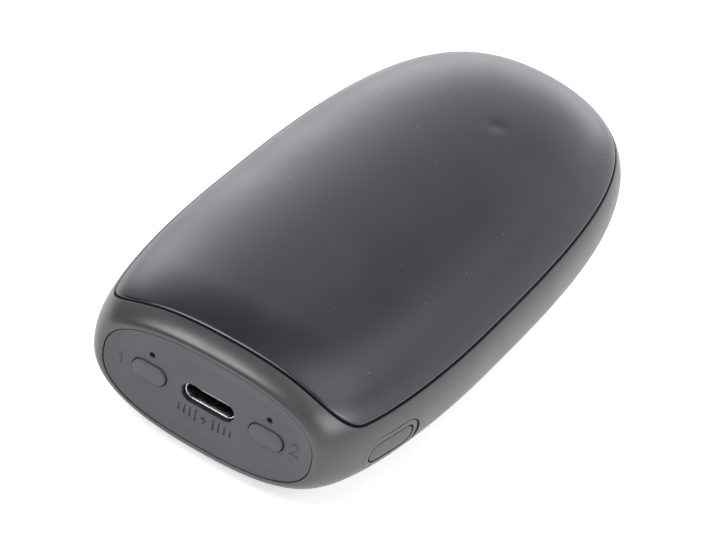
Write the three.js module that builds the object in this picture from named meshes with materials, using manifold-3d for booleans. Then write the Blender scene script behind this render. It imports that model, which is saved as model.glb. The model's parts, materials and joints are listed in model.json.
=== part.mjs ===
// A rechargeable hand warmer: a pebble-shaped power bank with a warm metal shell on each face.
// Millimetres, +Z up. X runs across, Y from the port end (low) to the round tail (high).
// The part is drawn from the middle of its port end, and stands with its lowest face on Z = 0.
import * as THREE from "three";
import { mergeVertices, toCreasedNormals } from "three/addons/utils/BufferGeometryUtils.js";
import Module from "manifold-3d";

const wasm = await Module();
wasm.setup();

// Outer form, read from the photo
const bodyLength = 100;
const bodyWidth = 53;
const bodyHeight = 22.8; // from the crown to the flat that it rests on
const restDepth = 0.2; // how much of the lower crown the flat takes off
const noseTaper = 8; // half width lost between the widest place and the nose
const shoulderDrop = 2.9; // half height lost at the nose
const widestAt = 38; // from the nose
const fullHeightAt = 13; // from the nose
const tailFall = 46; // length over which the height falls away to the tail
const tailPlanPower = 3.1;
const tailDropPower = 6;
const tailRoundPower = 2.7;
const sectionPower = 2.41; // of the rounded cross-section at the nose
const sectionPowerLoss = 0.25; // the section is rounder at the tail

// Shells and frame
const shellWall = 1;
const seamHeight = 5; // a shell's edge, from the middle plane
const seamFront = 3.2; // a shell's front edge, from the nose
const seamRadius = 4;
const seamGap = 0.25;
const lipGap = 0.2;
const lipWall = 0.9;
const lipHeight = 1.2;
const noseWall = 4;
const bite = 0.4; // how far a rib runs into the wall that carries it

// End panel
const noseRim = 0.42;
const panelGap = 0.12;
const panelPower = 2.5;
const panelRecess = 0.45;
const panelThickness = 2.05;
const panelRimWidth = 1.9; // the panel is a shallow dish with a sloping rim
const panelRimRise = 0.33;
const panelLedge = 1.2;

// Keys and the switches behind them
const keyHalfLength = 2.92;
const keyHalfHeight = 1.5;
const keyGap = 0.15;
const keyProud = 0.45;
const keyTravel = 0.4;
const keyEdge = 0.3;
const flangeRim = 0.7;
const flangeThickness = 0.6;
const flangePlay = 0.1;
const stemHalfWidth = 1.2;
const stemHalfHeight = 0.55;
const stemLength = 0.7;
const plungerHalfWidth = 1;
const plungerHalfHeight = 0.45;
const plungerReach = 0.8;
const plungerRoot = 0.7;
const plungerPlay = 0.1;
const contactGap = 0.05;
const switchHalfWidth = 2;
const switchDepth = 2.4;
const switchHeight = 3.2;
const keyPlaceShare = 0.416; // of the way from the port's hole to the panel's end

// Side key
const sideKeyAlong = 12.5; // from the nose
const sideKeyHeight = -0.9; // from the middle plane
const sideKeyHalfLength = 4.62;
const sideKeyHalfHeight = 1.71;
const sideKeyProud = 0.04;
const sideStemRise = 0.4; // the stem's and the switch's middle, from the key's middle
const sideRecessMargin = 1.25;
const sideRecessDepth = 0.2;
const sideWall = 1.3;

// Charging port
const portWidth = 8.94;
const portHeight = 3.16;
const portLength = 7.35;
const portRim = 1.15; // the metal rim, from the nose
const portRise = 0.25; // the port's middle, from the middle plane
const portMetal = 0.3;
const portGap = 0.12;
const tongueHalfWidth = 3.35;
const tongueThickness = 0.7;
const tongueLength = 4.5;
const insertLength = 1.6;
const insertGap = 0.05;

// Board and what stands on it
const boardThickness = 1;
const boardGap = 0.3;
const solderGap = 0.05;
const lightSide = 1.2;
const lightPinRadius = 0.4;
const lightPinGap = 0.08;
const lightPinRecess = 0.25;
const lightRoom = 0.4;
const lampLength = 1.6;
const lampWidth = 0.8;
const lampHeight = 0.6;
const lampGap = 0.15;
const rowGap = 0.6;
const controlSide = 4;
const controlHeight = 0.8;
const chargeSide = 3;
const chargeHeight = 0.75;
const coilSide = 4;
const coilHeight = 2.6;
const chipSpace = 1.4;
const coilPlaceShare = 0.43; // of the way from the positive tab to the side switch
const boardEdge = 0.7;
const bracketInside = 1.8; // from the screw to the bracket's inner side
const bracketHeight = 3;
const bracketRoom = 1.9; // from the screw to the bracket's rear side
const screwRadius = 0.8;
const screwGap = 0.12;
const screwLength = 3.2;
const screwHeadRadius = 1.4;
const screwHeadHeight = 0.9;
const screwRoom = 1.6; // from the switch to the middle of the screw
const screwSocketRadius = 0.55;
const screwSocketDepth = 0.5;

// Cells and what holds them
const cellTailRoom = 18.45; // from the cells' rear ends to the tail
const cellHeadroom = 1.35; // between a cell and the shell over it
const cellSpace = 0.2; // between the cells
const cellClearance = 0.24;
const cellEdge = 0.5;
const cellCapRadius = 3;
const cellCapHeight = 0.3;
const bulkheadWall = 1.2;
const bulkheadHalfHeight = 7;
const windowMargin = 0.25; // from a cell's middle to the window's side
const windowTop = 0.8;
const windowBottom = -4.9;
const restLength = 1.3;
const restHeight = 1.5;
const restHalfWidth = 1.5;
const linkThickness = 0.2;
const linkHalfHeight = 2.5;
const linkOverlap = 3.4;
const linkTabWidth = 3;
const linkTabLength = 1.6;
const linkPlay = 0.05;
const leadRadius = 0.6;
const leadClearance = 0.25;
const leadEnd = 1.2;
const sidePadLength = 26;
const sidePadHalfHeight = 4.5;
const sidePadGap = 0.2;

// Heaters
const filmGap = 0.1;
const filmThickness = 0.2;
const filmMargin = 11.5; // from the body's side to the film's edge
const filmClearance = 0.12;
const filmStart = 1.4; // behind the front bulkhead
const foamHalfWidth = 4.5;
const foamGap = 0.12;
const foamStart = 6;
const foamEnd = 5;
const sensorLength = 2.6;
const sensorWidth = 1.7;
const sensorHeight = 1.1;
const tailHalfWidth = 2;
const tailThickness = 0.2;
const tailFoot = 1.5;
const tailBehindEdge = 0.5;

const overrun = 1; // how far a cut runs past what it cuts

// Fineness of the round forms
const ringSteps = 36;
const rowSteps = 24;
const arcSteps = 8;
const roundSteps = 32;
const smallRoundSteps = 16;
const fitSteps = 24;
const searchSteps = 40;
const smoothAngle = 0.6;

// Places that follow from the sizes
const halfHeightFull = (bodyHeight + restDepth) / 2;
const restZ = restDepth - halfHeightFull;
const frameWall = shellWall + lipGap + lipWall;
const lipTop = seamHeight + lipHeight;
const filmFace = shellWall + filmGap + filmThickness;
const panelHalfWidth = bodyWidth / 2 - noseTaper - noseRim;
const panelHalfHeight = halfHeightFull - shoulderDrop - noseRim;
const panelBack = panelRecess + panelThickness;
const keyFace = panelRecess - keyProud;
const portHoleEnd = portWidth / 2 + portGap;
const keyOffset = portHoleEnd + keyPlaceShare * (panelHalfWidth - portHoleEnd);
const flangeFront = panelBack + flangePlay - keyFace;
const switchFront = flangeFront + flangeThickness + stemLength + contactGap + plungerReach;
const switchBack = keyFace + switchFront + switchDepth;
const boardTop = portRise - portHeight / 2 - solderGap;
const boardBottom = boardTop - boardThickness;
const boardFront = noseWall + boardGap;
const footZ = boardTop + solderGap;
const lightHeight = keyHalfHeight + flangeRim + lightRoom + lightSide / 2;
const lampAlong = switchBack + lightRoom + lightSide / 2;
const frontRowEnd = Math.max(portRim + portLength, lampAlong + lightSide / 2);
const boardRear = Math.max(
  frontRowEnd + rowGap + Math.max(controlSide, chargeSide, coilSide) + boardEdge,
  sideKeyAlong + switchHalfWidth + boardEdge,
);
const bulkheadFront = boardRear + boardGap;
const bulkheadRear = bulkheadFront + bulkheadWall;
const cellFront = bulkheadRear + boardGap + linkThickness + linkPlay + cellCapHeight;
const cellRear = bodyLength - cellTailRoom;
const wallAt = (z) => (z < lipTop ? frameWall : shellWall);
const pairFits = (radius, y) => cellFits(radius, y, cellClearance, () => true, wallAt);
const cellRadius = Math.min(
  halfHeightFull - shellWall - cellHeadroom,
  lastFit(0, bodyWidth, (radius) => pairFits(radius, cellFront) && pairFits(radius, cellRear)),
);
const cellOffset = cellRadius + cellSpace / 2;
const windowHalfWidth = cellOffset - windowMargin;
const screwAcross = keyOffset + switchHalfWidth + screwRoom + screwHeadRadius;
const screwAlong = boardFront + screwHeadRadius + screwRoom;
const sideRecessStart = sideKeyAlong - sideKeyHalfLength - sideRecessMargin;
const sideKeyInside = halfWidth(sideRecessStart) - sideRecessDepth - sideWall;
const sideKeyFace = halfWidth(sideKeyAlong) + sideKeyProud;
const sideFlangeFront = sideKeyFace - sideKeyInside + flangePlay;
const sideSwitchFront = sideFlangeFront + flangeThickness + stemLength + contactGap + plungerReach;
const sideSwitchAcross = sideKeyFace - sideSwitchFront;
const filmHalfWidth = bodyWidth / 2 - filmMargin;
const filmFront = bulkheadRear + filmStart;
const filmRear = lastFit(bodyLength / 2, bodyLength - frameWall, (y) =>
  cellFits(cellRadius, y, filmClearance, (x) => x < filmHalfWidth, () => filmFace),
);

// The share of its size that a rounded end still has, at a share of the way to its tip.
// It is a quarter of an ellipse unless a power is given.
function roundEnd(share, power = 2, rootPower = power) {
  return Math.max(0, 1 - Math.max(0, share) ** power) ** (1 / rootPower);
}

// Half the casing's width at a distance from the nose, on the outside or drawn in by inset.
function halfWidth(y, inset = 0) {
  const full = bodyWidth / 2 - inset;
  if (y > widestAt) return full * roundEnd((y - widestAt) / (bodyLength - inset - widestAt), tailPlanPower);
  return full - noseTaper * (1 - roundEnd((widestAt - y) / (widestAt - inset)));
}

// Half the casing's height there.
function halfHeight(y, inset = 0) {
  const full = halfHeightFull - inset;
  const fallFrom = bodyLength - tailFall;
  if (y > fallFrom) {
    return full * roundEnd((y - fallFrom) / (tailFall - inset), tailDropPower, tailRoundPower);
  }
  return full - shoulderDrop * (1 - roundEnd((fullHeightAt - y) / (fullHeightAt - inset)));
}

function powerAt(y) {
  return sectionPower - (sectionPowerLoss * y) / bodyLength;
}

// Points of a rounded oval: a circle's points, pushed out towards a rectangle by its power.
function ovalPoints(halfAcross, halfUp, power, steps = ringSteps) {
  return Array.from({ length: steps }, (_, i) => {
    const angle = (2 * Math.PI * i) / steps;
    const swell = (value) => Math.sign(value) * Math.abs(value) ** (2 / power);
    return new THREE.Vector2(halfAcross * swell(Math.cos(angle)), halfUp * swell(Math.sin(angle)));
  });
}

function isInside(x, z, y, inset) {
  const power = powerAt(y);
  return (x / halfWidth(y, inset)) ** power + (Math.abs(z) / halfHeight(y, inset)) ** power < 1;
}

// Whether a cell with some clearance round it fits the casing at y, where counts(x) holds.
function cellFits(radius, y, clearance, counts, insetAt) {
  for (let i = 0; i <= fitSteps; i++) {
    const angle = (Math.PI / 2) * (i / fitSteps);
    const x = radius + cellSpace / 2 + (radius + clearance) * Math.cos(angle);
    const z = (radius + clearance) * Math.sin(angle);
    if (counts(x) && !isInside(x, z, y, insetAt(z))) return false;
  }
  return true;
}

// The last value on the way from near to far for which a test still holds.
function lastFit(near, far, holds) {
  for (let i = 0; i < searchSteps; i++) {
    const middle = (near + far) / 2;
    if (holds(middle)) near = middle;
    else far = middle;
  }
  return near;
}

// A closed mesh through rings of points across Y, each ring { points, y }, ending in two tips.
function loft(rings, firstTip = rings[0].y, lastTip = rings[rings.length - 1].y) {
  const count = rings[0].points.length;
  const positions = [0, firstTip, 0];
  for (const { points, y } of rings) {
    for (const point of points) positions.push(point.x, y, point.y);
  }
  positions.push(0, lastTip, 0);
  const last = rings.length * count + 1;
  const at = (row, i) => 1 + row * count + (i % count);
  const faces = [];
  for (let i = 0; i < count; i++) {
    faces.push(0, at(0, i), at(0, i + 1));
    for (let row = 0; row < rings.length - 1; row++) {
      faces.push(at(row, i), at(row + 1, i), at(row, i + 1));
      faces.push(at(row, i + 1), at(row + 1, i), at(row + 1, i + 1));
    }
    faces.push(last, at(rings.length - 1, i + 1), at(rings.length - 1, i));
  }
  const geometry = new THREE.BufferGeometry();
  geometry.setAttribute("position", new THREE.Float32BufferAttribute(positions, 3));
  geometry.setIndex(faces);
  return geometry;
}

// The casing's whole form, on the outside or drawn in by inset.
function casingForm(inset = 0) {
  const rings = [];
  for (let row = 0; row < rowSteps; row++) {
    const share = (1 - Math.cos((Math.PI * row) / rowSteps)) / 2;
    const y = inset + (bodyLength - 2 * inset) * share;
    rings.push({ y, points: ovalPoints(halfWidth(y, inset), halfHeight(y, inset), powerAt(y)) });
  }
  return solid(loft(rings, inset, bodyLength - inset));
}

function solid(geometry) {
  const bare = geometry.index ? geometry.toNonIndexed() : geometry.clone();
  bare.deleteAttribute("normal");
  bare.deleteAttribute("uv");
  const merged = mergeVertices(bare);
  return new wasm.Manifold(
    new wasm.Mesh({
      numProp: 3,
      vertProperties: merged.attributes.position.array,
      triVerts: new Uint32Array(merged.index.array),
    }),
  );
}

function geometryOf(made) {
  const { vertProperties, triVerts } = made.getMesh();
  const geometry = new THREE.BufferGeometry();
  geometry.setAttribute("position", new THREE.BufferAttribute(vertProperties, 3));
  geometry.setIndex(new THREE.BufferAttribute(triVerts, 1));
  return toCreasedNormals(geometry, smoothAngle);
}

// A box from its lowest to its highest corner.
function block([x0, y0, z0], [x1, y1, z1]) {
  const geometry = new THREE.BoxGeometry(x1 - x0, y1 - y0, z1 - z0);
  return geometry.translate((x0 + x1) / 2, (y0 + y1) / 2, (z0 + z1) / 2);
}

// An outline across X and Z, extruded from front to back along Y.
function alongY(shape, front, back) {
  const geometry = new THREE.ExtrudeGeometry(shape, {
    depth: back - front,
    bevelEnabled: false,
    curveSegments: arcSteps,
  });
  return geometry.rotateX(Math.PI / 2).translate(0, back, 0);
}

// An outline across Y and Z, extruded from low to high along X.
function alongX(shape, low, high) {
  const geometry = new THREE.ExtrudeGeometry(shape, {
    depth: high - low,
    bevelEnabled: false,
    curveSegments: arcSteps,
  });
  const turn = new THREE.Matrix4().makeBasis(
    new THREE.Vector3(0, 1, 0),
    new THREE.Vector3(0, 0, 1),
    new THREE.Vector3(1, 0, 0),
  );
  return geometry.applyMatrix4(turn).translate(low, 0, 0);
}

// A pill: two straight sides and two round ends.
function pill(halfLength, halfHigh, x = 0, y = 0) {
  const straight = halfLength - halfHigh;
  const shape = new THREE.Shape();
  shape.absarc(x + straight, y, halfHigh, -Math.PI / 2, Math.PI / 2);
  shape.absarc(x - straight, y, halfHigh, Math.PI / 2, (3 * Math.PI) / 2);
  return shape;
}

function rectangle(halfLength, halfHigh) {
  const shape = new THREE.Shape();
  shape.moveTo(-halfLength, -halfHigh);
  shape.lineTo(halfLength, -halfHigh);
  shape.lineTo(halfLength, halfHigh);
  shape.lineTo(-halfLength, halfHigh);
  return shape;
}

// The space over a shell's seam, which follows a flat edge and turns up at the nose.
// outward moves the seam out of the shell, towards the frame.
function seamSpace(outward, side) {
  const front = seamFront - outward;
  const low = seamHeight - outward;
  const radius = seamRadius + outward;
  const high = bodyHeight;
  const rear = bodyLength + overrun;
  const shape = new THREE.Shape();
  shape.moveTo(front, side * high);
  shape.lineTo(front, side * (low + radius));
  if (side > 0) shape.absarc(front + radius, low + radius, radius, Math.PI, (3 * Math.PI) / 2);
  else shape.absarc(front + radius, -low - radius, radius, Math.PI, Math.PI / 2, true);
  shape.lineTo(rear, side * low);
  shape.lineTo(rear, side * high);
  return solid(alongX(shape, -bodyWidth, bodyWidth));
}

function shell(side) {
  const skin = casingForm().intersect(seamSpace(0, side));
  const flat = block([-bodyWidth, -overrun, restZ], [bodyWidth, bodyLength + overrun, bodyHeight]);
  return geometryOf(skin.subtract(casingForm(shellWall)).intersect(solid(flat)));
}

function sideKeyPrism(margin, low, high) {
  const outline = pill(
    sideKeyHalfLength + margin,
    sideKeyHalfHeight + margin,
    sideKeyAlong,
    sideKeyHeight,
  );
  return solid(alongX(outline, low, high));
}

// Where the side key's flange moves, out to a given place across.
function sideKeyRoom(out) {
  const deep = sideFlangeFront + flangeThickness + keyTravel + boardGap;
  return sideKeyPrism(flangeRim + boardGap, sideKeyFace - deep, out);
}

function middleFrame() {
  const within = casingForm(frameWall - bite);
  const band = casingForm().subtract(seamSpace(seamGap, 1)).subtract(seamSpace(seamGap, -1));
  const lip = casingForm(shellWall + lipGap)
    .subtract(seamSpace(-lipHeight, 1))
    .subtract(seamSpace(-lipHeight, -1));
  const hollow = casingForm(frameWall).intersect(
    solid(block([-bodyWidth, noseWall, -bodyHeight], [bodyWidth, bodyLength, bodyHeight])),
  );
  const pocket = new THREE.Shape(
    ovalPoints(panelHalfWidth + panelGap, panelHalfHeight + panelGap, panelPower),
  );
  const passage = new THREE.Shape(
    ovalPoints(panelHalfWidth - panelLedge, panelHalfHeight - panelLedge, panelPower),
  );
  let made = band
    .add(lip)
    .subtract(hollow)
    .subtract(solid(alongY(pocket, -overrun, panelBack)))
    .subtract(solid(alongY(passage, -overrun, noseWall + overrun)));
  made = made.add(bulkhead(bulkheadFront, bulkheadRear).intersect(within));
  const rear = cellRear + linkThickness + linkPlay + boardGap;
  made = made.add(rearBulkhead(rear).intersect(within));
  for (const side of [-1, 1]) {
    made = made.add(boardBracket(side).intersect(within));
    made = made.subtract(solid(screwHole(side, boardBottom - bracketHeight - overrun)));
    made = made.add(boardRest(side));
  }
  const boss = sideKeyPrism(sideRecessMargin, sideKeyInside, bodyWidth).intersect(casingForm(shellWall));
  const recess = sideKeyPrism(sideRecessMargin, 0, bodyWidth).subtract(casingForm(sideRecessDepth));
  return geometryOf(
    made
      .add(boss)
      .subtract(sideKeyRoom(sideKeyInside))
      .subtract(sideKeyPrism(keyGap, sideKeyInside - overrun, bodyWidth))
      .subtract(recess),
  );
}

// The wall between the board and the cells, with a window for the leads.
function bulkhead(front, rear) {
  const wall = solid(
    block([-bodyWidth, front, -bulkheadHalfHeight], [bodyWidth, rear, bulkheadHalfHeight]),
  );
  const window = block(
    [-windowHalfWidth, front - overrun, windowBottom],
    [windowHalfWidth, rear + overrun, windowTop],
  );
  return wall.subtract(solid(window));
}

function rearBulkhead(front) {
  return solid(
    block([-bodyWidth, front, -seamHeight], [bodyWidth, front + bulkheadWall, seamHeight]),
  );
}

// A bracket in each front corner that carries the board, with a hole for its screw.
function boardBracket(side) {
  const inner = screwAcross - bracketInside;
  const low = [inner, noseWall - bite, boardBottom - bracketHeight];
  const high = [bodyWidth, screwAlong + bracketRoom, boardBottom];
  const made = block(low, high);
  return solid(side < 0 ? made.rotateZ(Math.PI).translate(0, low[1] + high[1], 0) : made);
}

function screwHole(side, bottom) {
  const radius = screwRadius + screwGap;
  const length = boardTop + overrun - bottom;
  const hole = new THREE.CylinderGeometry(radius, radius, length, smallRoundSteps);
  return hole.rotateX(Math.PI / 2).translate(side * screwAcross, screwAlong, bottom + length / 2);
}

// A small shelf on the bulkhead under the board's rear edge.
function boardRest(side) {
  const across = side * (windowHalfWidth + restHalfWidth + bite);
  return solid(
    block(
      [across - restHalfWidth, boardRear - restLength, boardBottom - restHeight],
      [across + restHalfWidth, bulkheadFront + bite, boardBottom],
    ),
  );
}

function endPanel() {
  const outline = ovalPoints(panelHalfWidth, panelHalfHeight, panelPower);
  const dish = ovalPoints(panelHalfWidth - panelRimWidth, panelHalfHeight - panelRimWidth, panelPower);
  let made = solid(
    loft([
      { points: dish, y: panelRecess },
      { points: outline, y: panelRecess - panelRimRise },
      { points: outline, y: panelBack },
    ]),
  );
  const cut = (shape) => {
    made = made.subtract(solid(alongY(shape, -overrun, panelBack + overrun)));
  };
  cut(pill(portHoleEnd, portHeight / 2 + portGap, 0, portRise));
  for (const side of [-1, 1]) {
    cut(pill(keyHalfLength + keyGap, keyHalfHeight + keyGap, side * keyOffset));
    const pin = new THREE.Shape();
    pin.absarc(side * keyOffset, lightHeight, lightPinRadius + lightPinGap, 0, 2 * Math.PI);
    cut(pin);
  }
  return geometryOf(made);
}

// A key from its face at Y = 0 inwards: cap, flange and the stem that meets the plunger.
function keyForm(halfLength, halfHigh, flangeAt, stemRise = 0) {
  const ring = (drawnIn, y) => ({
    points: pill(halfLength - drawnIn, halfHigh - drawnIn).getPoints(arcSteps).slice(0, -1),
    y,
  });
  const cap = solid(loft([ring(keyEdge, 0), ring(0, keyEdge), ring(0, flangeAt + bite)]));
  const flangeBack = flangeAt + flangeThickness;
  const flange = solid(alongY(pill(halfLength + flangeRim, halfHigh + flangeRim), flangeAt, flangeBack));
  const stem = alongY(rectangle(stemHalfWidth, stemHalfHeight), flangeBack - bite, flangeBack + stemLength);
  return cap.add(flange).add(solid(stem.translate(0, 0, stemRise)));
}

// The side key: its face is a patch of the casing's own form, a little proud of it.
function sideKey() {
  const flangeAt = sideFlangeFront + overrun;
  const form = geometryOf(keyForm(sideKeyHalfLength, sideKeyHalfHeight, flangeAt, sideStemRise));
  form.rotateZ(Math.PI / 2).translate(sideKeyFace + overrun, sideKeyAlong, sideKeyHeight);
  return geometryOf(solid(form).intersect(casingForm(-sideKeyProud)));
}

// A side-pressed switch whose plunger's middle lies foot above its solder face.
function switchBody(foot) {
  const boreHalfWidth = plungerHalfWidth + plungerPlay;
  const boreHalfHeight = plungerHalfHeight + plungerPlay;
  const boreDepth = plungerRoot + keyTravel + plungerPlay;
  const housing = solid(
    block([-switchHalfWidth, 0, -foot], [switchHalfWidth, switchDepth, switchHeight - foot]),
  );
  return geometryOf(
    housing.subtract(solid(alongY(rectangle(boreHalfWidth, boreHalfHeight), -overrun, boreDepth))),
  );
}

function switchPlunger() {
  return alongY(rectangle(plungerHalfWidth, plungerHalfHeight), -plungerReach, plungerRoot);
}

// The light pipe: a pin in the panel, a bar over the switch and a limb down to the lamp.
function lightPipe() {
  const half = lightSide / 2;
  const pinFront = panelRecess + lightPinRecess;
  const pinBack = panelBack + flangePlay + bite;
  const pin = new THREE.CylinderGeometry(lightPinRadius, lightPinRadius, pinBack - pinFront, smallRoundSteps);
  pin.translate(0, (pinFront + pinBack) / 2, lightHeight);
  const bar = block(
    [-half, panelBack + flangePlay, lightHeight - half],
    [half, lampAlong + half, lightHeight + half],
  );
  const limb = block(
    [-half, lampAlong - half, footZ + lampHeight + lampGap],
    [half, lampAlong + half, lightHeight + half],
  );
  return geometryOf(solid(pin).add(solid(bar)).add(solid(limb)));
}

function lamp() {
  return block(
    [-lampLength / 2, lampAlong - lampWidth / 2, footZ],
    [lampLength / 2, lampAlong + lampWidth / 2, footZ + lampHeight],
  );
}

function portShell() {
  const outline = pill(portWidth / 2, portHeight / 2, 0, portRise);
  outline.holes.push(pill(portWidth / 2 - portMetal, portHeight / 2 - portMetal, 0, portRise));
  return alongY(outline, portRim, portRim + portLength);
}

// The plastic block that closes the port's back, with its tongue.
function portInsert() {
  const inside = portMetal + insertGap;
  const rear = portRim + portLength;
  const front = rear - insertLength;
  const outline = pill(portWidth / 2 - inside, portHeight / 2 - inside, 0, portRise);
  const plug = alongY(outline, front, rear);
  const tongue = block(
    [-tongueHalfWidth, front - tongueLength, portRise - tongueThickness / 2],
    [tongueHalfWidth, front + bite, portRise + tongueThickness / 2],
  );
  return geometryOf(solid(plug).add(solid(tongue)));
}

function mainBoard() {
  let made = solid(
    block([-bodyWidth, boardFront, boardBottom], [bodyWidth, boardRear, boardTop]),
  ).intersect(casingForm(frameWall + boardGap));
  made = made.subtract(sideKeyRoom(bodyWidth));
  for (const side of [-1, 1]) {
    made = made.subtract(solid(screwHole(side, boardBottom - overrun)));
  }
  return geometryOf(made);
}

// A pan-head screw with a round socket, its head's underside at Z = 0.
function boardScrew() {
  const profile = [
    [0, -screwLength],
    [screwRadius, -screwLength],
    [screwRadius, 0],
    [screwHeadRadius, 0],
    [screwHeadRadius, screwHeadHeight],
    [screwSocketRadius, screwHeadHeight],
    [screwSocketRadius, screwHeadHeight - screwSocketDepth],
    [0, screwHeadHeight - screwSocketDepth],
  ].map(([x, y]) => new THREE.Vector2(x, y));
  return new THREE.LatheGeometry(profile, smallRoundSteps).rotateX(Math.PI / 2);
}

// A chip or coil on the board, with its rear side at the board's rear row.
function onBoard(side, height, across) {
  const rear = boardRear - boardEdge;
  return block([across - side / 2, rear - side, footZ], [across + side / 2, rear, footZ + height]);
}

// A cell along Y, its positive cap towards the nose.
function cell() {
  const length = cellRear - cellFront;
  const profile = [
    [0, -cellCapHeight],
    [cellCapRadius, -cellCapHeight],
    [cellCapRadius, 0],
    [cellRadius - cellEdge, 0],
    [cellRadius, cellEdge],
    [cellRadius, length - cellEdge],
    [cellRadius - cellEdge, length],
    [0, length],
  ].map(([x, y]) => new THREE.Vector2(x, y));
  return new THREE.LatheGeometry(profile, roundSteps);
}

// A nickel strip over both cells' ends.
function linkStrip(front) {
  const half = cellOffset + linkOverlap;
  return block([-half, front, -linkHalfHeight], [half, front + linkThickness, linkHalfHeight]);
}

// The positive strip has a tab that runs through the window to the board.
function positiveLink() {
  const front = cellFront - cellCapHeight - linkPlay - linkThickness;
  const inner = windowHalfWidth - boardGap - linkTabWidth;
  const tab = block(
    [inner, boardRear - linkTabLength, footZ],
    [inner + linkTabWidth, front + linkThickness, footZ + linkThickness],
  );
  return geometryOf(solid(linkStrip(front)).add(solid(tab)));
}

// The negative lead lies in the lower valley between the cells and ends under the board.
function negativeLead() {
  const reach = cellRadius + leadRadius + leadClearance;
  const depth = Math.max(
    Math.sqrt(reach ** 2 - cellOffset ** 2),
    leadRadius + leadClearance - boardBottom,
  );
  const front = boardRear - leadEnd;
  const length = cellRear + linkPlay - front;
  const lead = new THREE.CylinderGeometry(leadRadius, leadRadius, length, smallRoundSteps);
  return lead.translate(0, front + length / 2, -depth);
}

// A soft pad between a cell and the frame's side, hollowed to the cell.
function sidePad(side) {
  const middle = (cellFront + cellRear) / 2;
  const low = side < 0 ? -bodyWidth : cellOffset;
  const high = side < 0 ? -cellOffset : bodyWidth;
  const bar = block(
    [low, middle - sidePadLength / 2, -sidePadHalfHeight],
    [high, middle + sidePadLength / 2, sidePadHalfHeight],
  );
  const cellRoom = new THREE.CylinderGeometry(
    cellRadius + sidePadGap,
    cellRadius + sidePadGap,
    bodyLength,
    roundSteps,
  );
  cellRoom.translate(side * cellOffset, middle, 0);
  const within = casingForm(frameWall + sidePadGap);
  return geometryOf(solid(bar).intersect(within).subtract(solid(cellRoom)));
}

// A heater film that lies under a shell and follows its curve.
function heaterFilm(side) {
  const region = block(
    [-filmHalfWidth, filmFront, side < 0 ? -bodyHeight : 0],
    [filmHalfWidth, filmRear, side < 0 ? 0 : bodyHeight],
  );
  return geometryOf(
    casingForm(shellWall + filmGap).intersect(solid(region)).subtract(casingForm(filmFace)),
  );
}

// The foam in the valley between the cells, which presses the film to its shell.
function valleyFoam(side) {
  const low = Math.sqrt(cellRadius ** 2 - (cellOffset - foamHalfWidth) ** 2) + foamGap;
  const region = block(
    [-foamHalfWidth, filmFront + foamStart, side < 0 ? -bodyHeight : low],
    [foamHalfWidth, filmRear - foamEnd, side < 0 ? -low : bodyHeight],
  );
  return geometryOf(casingForm(filmFace + foamGap).intersect(solid(region)));
}

// The temperature sensor on the film, in front of the foam.
function sensor(side) {
  const along = filmFront + foamStart / 2;
  const face = halfHeight(along - sensorLength / 2, filmFace) - foamGap;
  const inner = face - sensorHeight;
  return block(
    [-sensorWidth / 2, along - sensorLength / 2, side < 0 ? -face : inner],
    [sensorWidth / 2, along + sensorLength / 2, side < 0 ? -inner : face],
  );
}

// The film's flat cable: forward over the bulkhead, down to the board and a foot on it.
function heaterTail(side, across) {
  const film = halfHeight(filmFront, shellWall + filmGap) - filmThickness - foamGap;
  const board = side < 0 ? -boardBottom + solderGap : footZ;
  const rear = filmFront - linkPlay;
  const drop = boardRear - tailBehindEdge;
  const t = tailThickness;
  const outline = [
    [rear, film],
    [drop - t, film],
    [drop - t, board + t],
    [drop - tailFoot, board + t],
    [drop - tailFoot, board],
    [drop, board],
    [drop, film - t],
    [rear, film - t],
  ].map(([y, z]) => new THREE.Vector2(y, side * z));
  return alongX(new THREE.Shape(outline), across - tailHalfWidth, across + tailHalfWidth);
}

const material = (color, roughness, metalness = 0) =>
  new THREE.MeshStandardMaterial({ color, roughness, metalness });

function piece(parent, name, geometry, finish) {
  const mesh = new THREE.Mesh(geometry, finish);
  mesh.name = name;
  parent.add(mesh);
  return mesh;
}

const finishes = {
  shell: () => material(0x4c4c50, 0.38, 0.6),
  frame: () => material(0x5c5c60, 0.55),
  panel: () => material(0x626266, 0.6),
  key: () => material(0x66666a, 0.55),
  lens: () => material(0x151517, 0.2),
  steel: () => material(0xc8c8cc, 0.3, 1),
  darkPlastic: () => material(0x1c1c1f, 0.5),
  board: () => material(0x1d5a36, 0.5),
  chip: () => material(0x222226, 0.6),
  cell: () => material(0x2f74a8, 0.4),
  nickel: () => material(0xb8b4a8, 0.35, 1),
  lead: () => material(0x202022, 0.5),
  film: () => material(0xb8772c, 0.35),
  foam: () => material(0x3a3a3d, 0.95),
  lamp: () => material(0xf2efd8, 0.4),
};

const casing = new THREE.Group();
casing.position.set(0, -bodyLength / 2, -restZ);
piece(casing, "top_shell", shell(1), finishes.shell());
piece(casing, "bottom_shell", shell(-1), finishes.shell());
piece(casing, "middle_frame", middleFrame(), finishes.frame());
piece(casing, "end_panel", endPanel(), finishes.panel());
piece(casing, "usb_port_shell", portShell(), finishes.steel());
piece(casing, "usb_port_insert", portInsert(), finishes.darkPlastic());
piece(casing, "main_board", mainBoard(), finishes.board());

const controlAcross = -tailHalfWidth - chipSpace - controlSide / 2;
const chargeAcross = controlAcross - controlSide / 2 - chipSpace - chargeSide / 2;
const tabEnd = windowHalfWidth - boardGap;
const coilAcross = tabEnd + coilPlaceShare * (sideSwitchAcross - switchDepth - tabEnd);
piece(casing, "control_chip", onBoard(controlSide, controlHeight, controlAcross), finishes.chip());
piece(casing, "charge_chip", onBoard(chargeSide, chargeHeight, chargeAcross), finishes.chip());
piece(casing, "power_inductor", onBoard(coilSide, coilHeight, coilAcross), finishes.chip());

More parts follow.
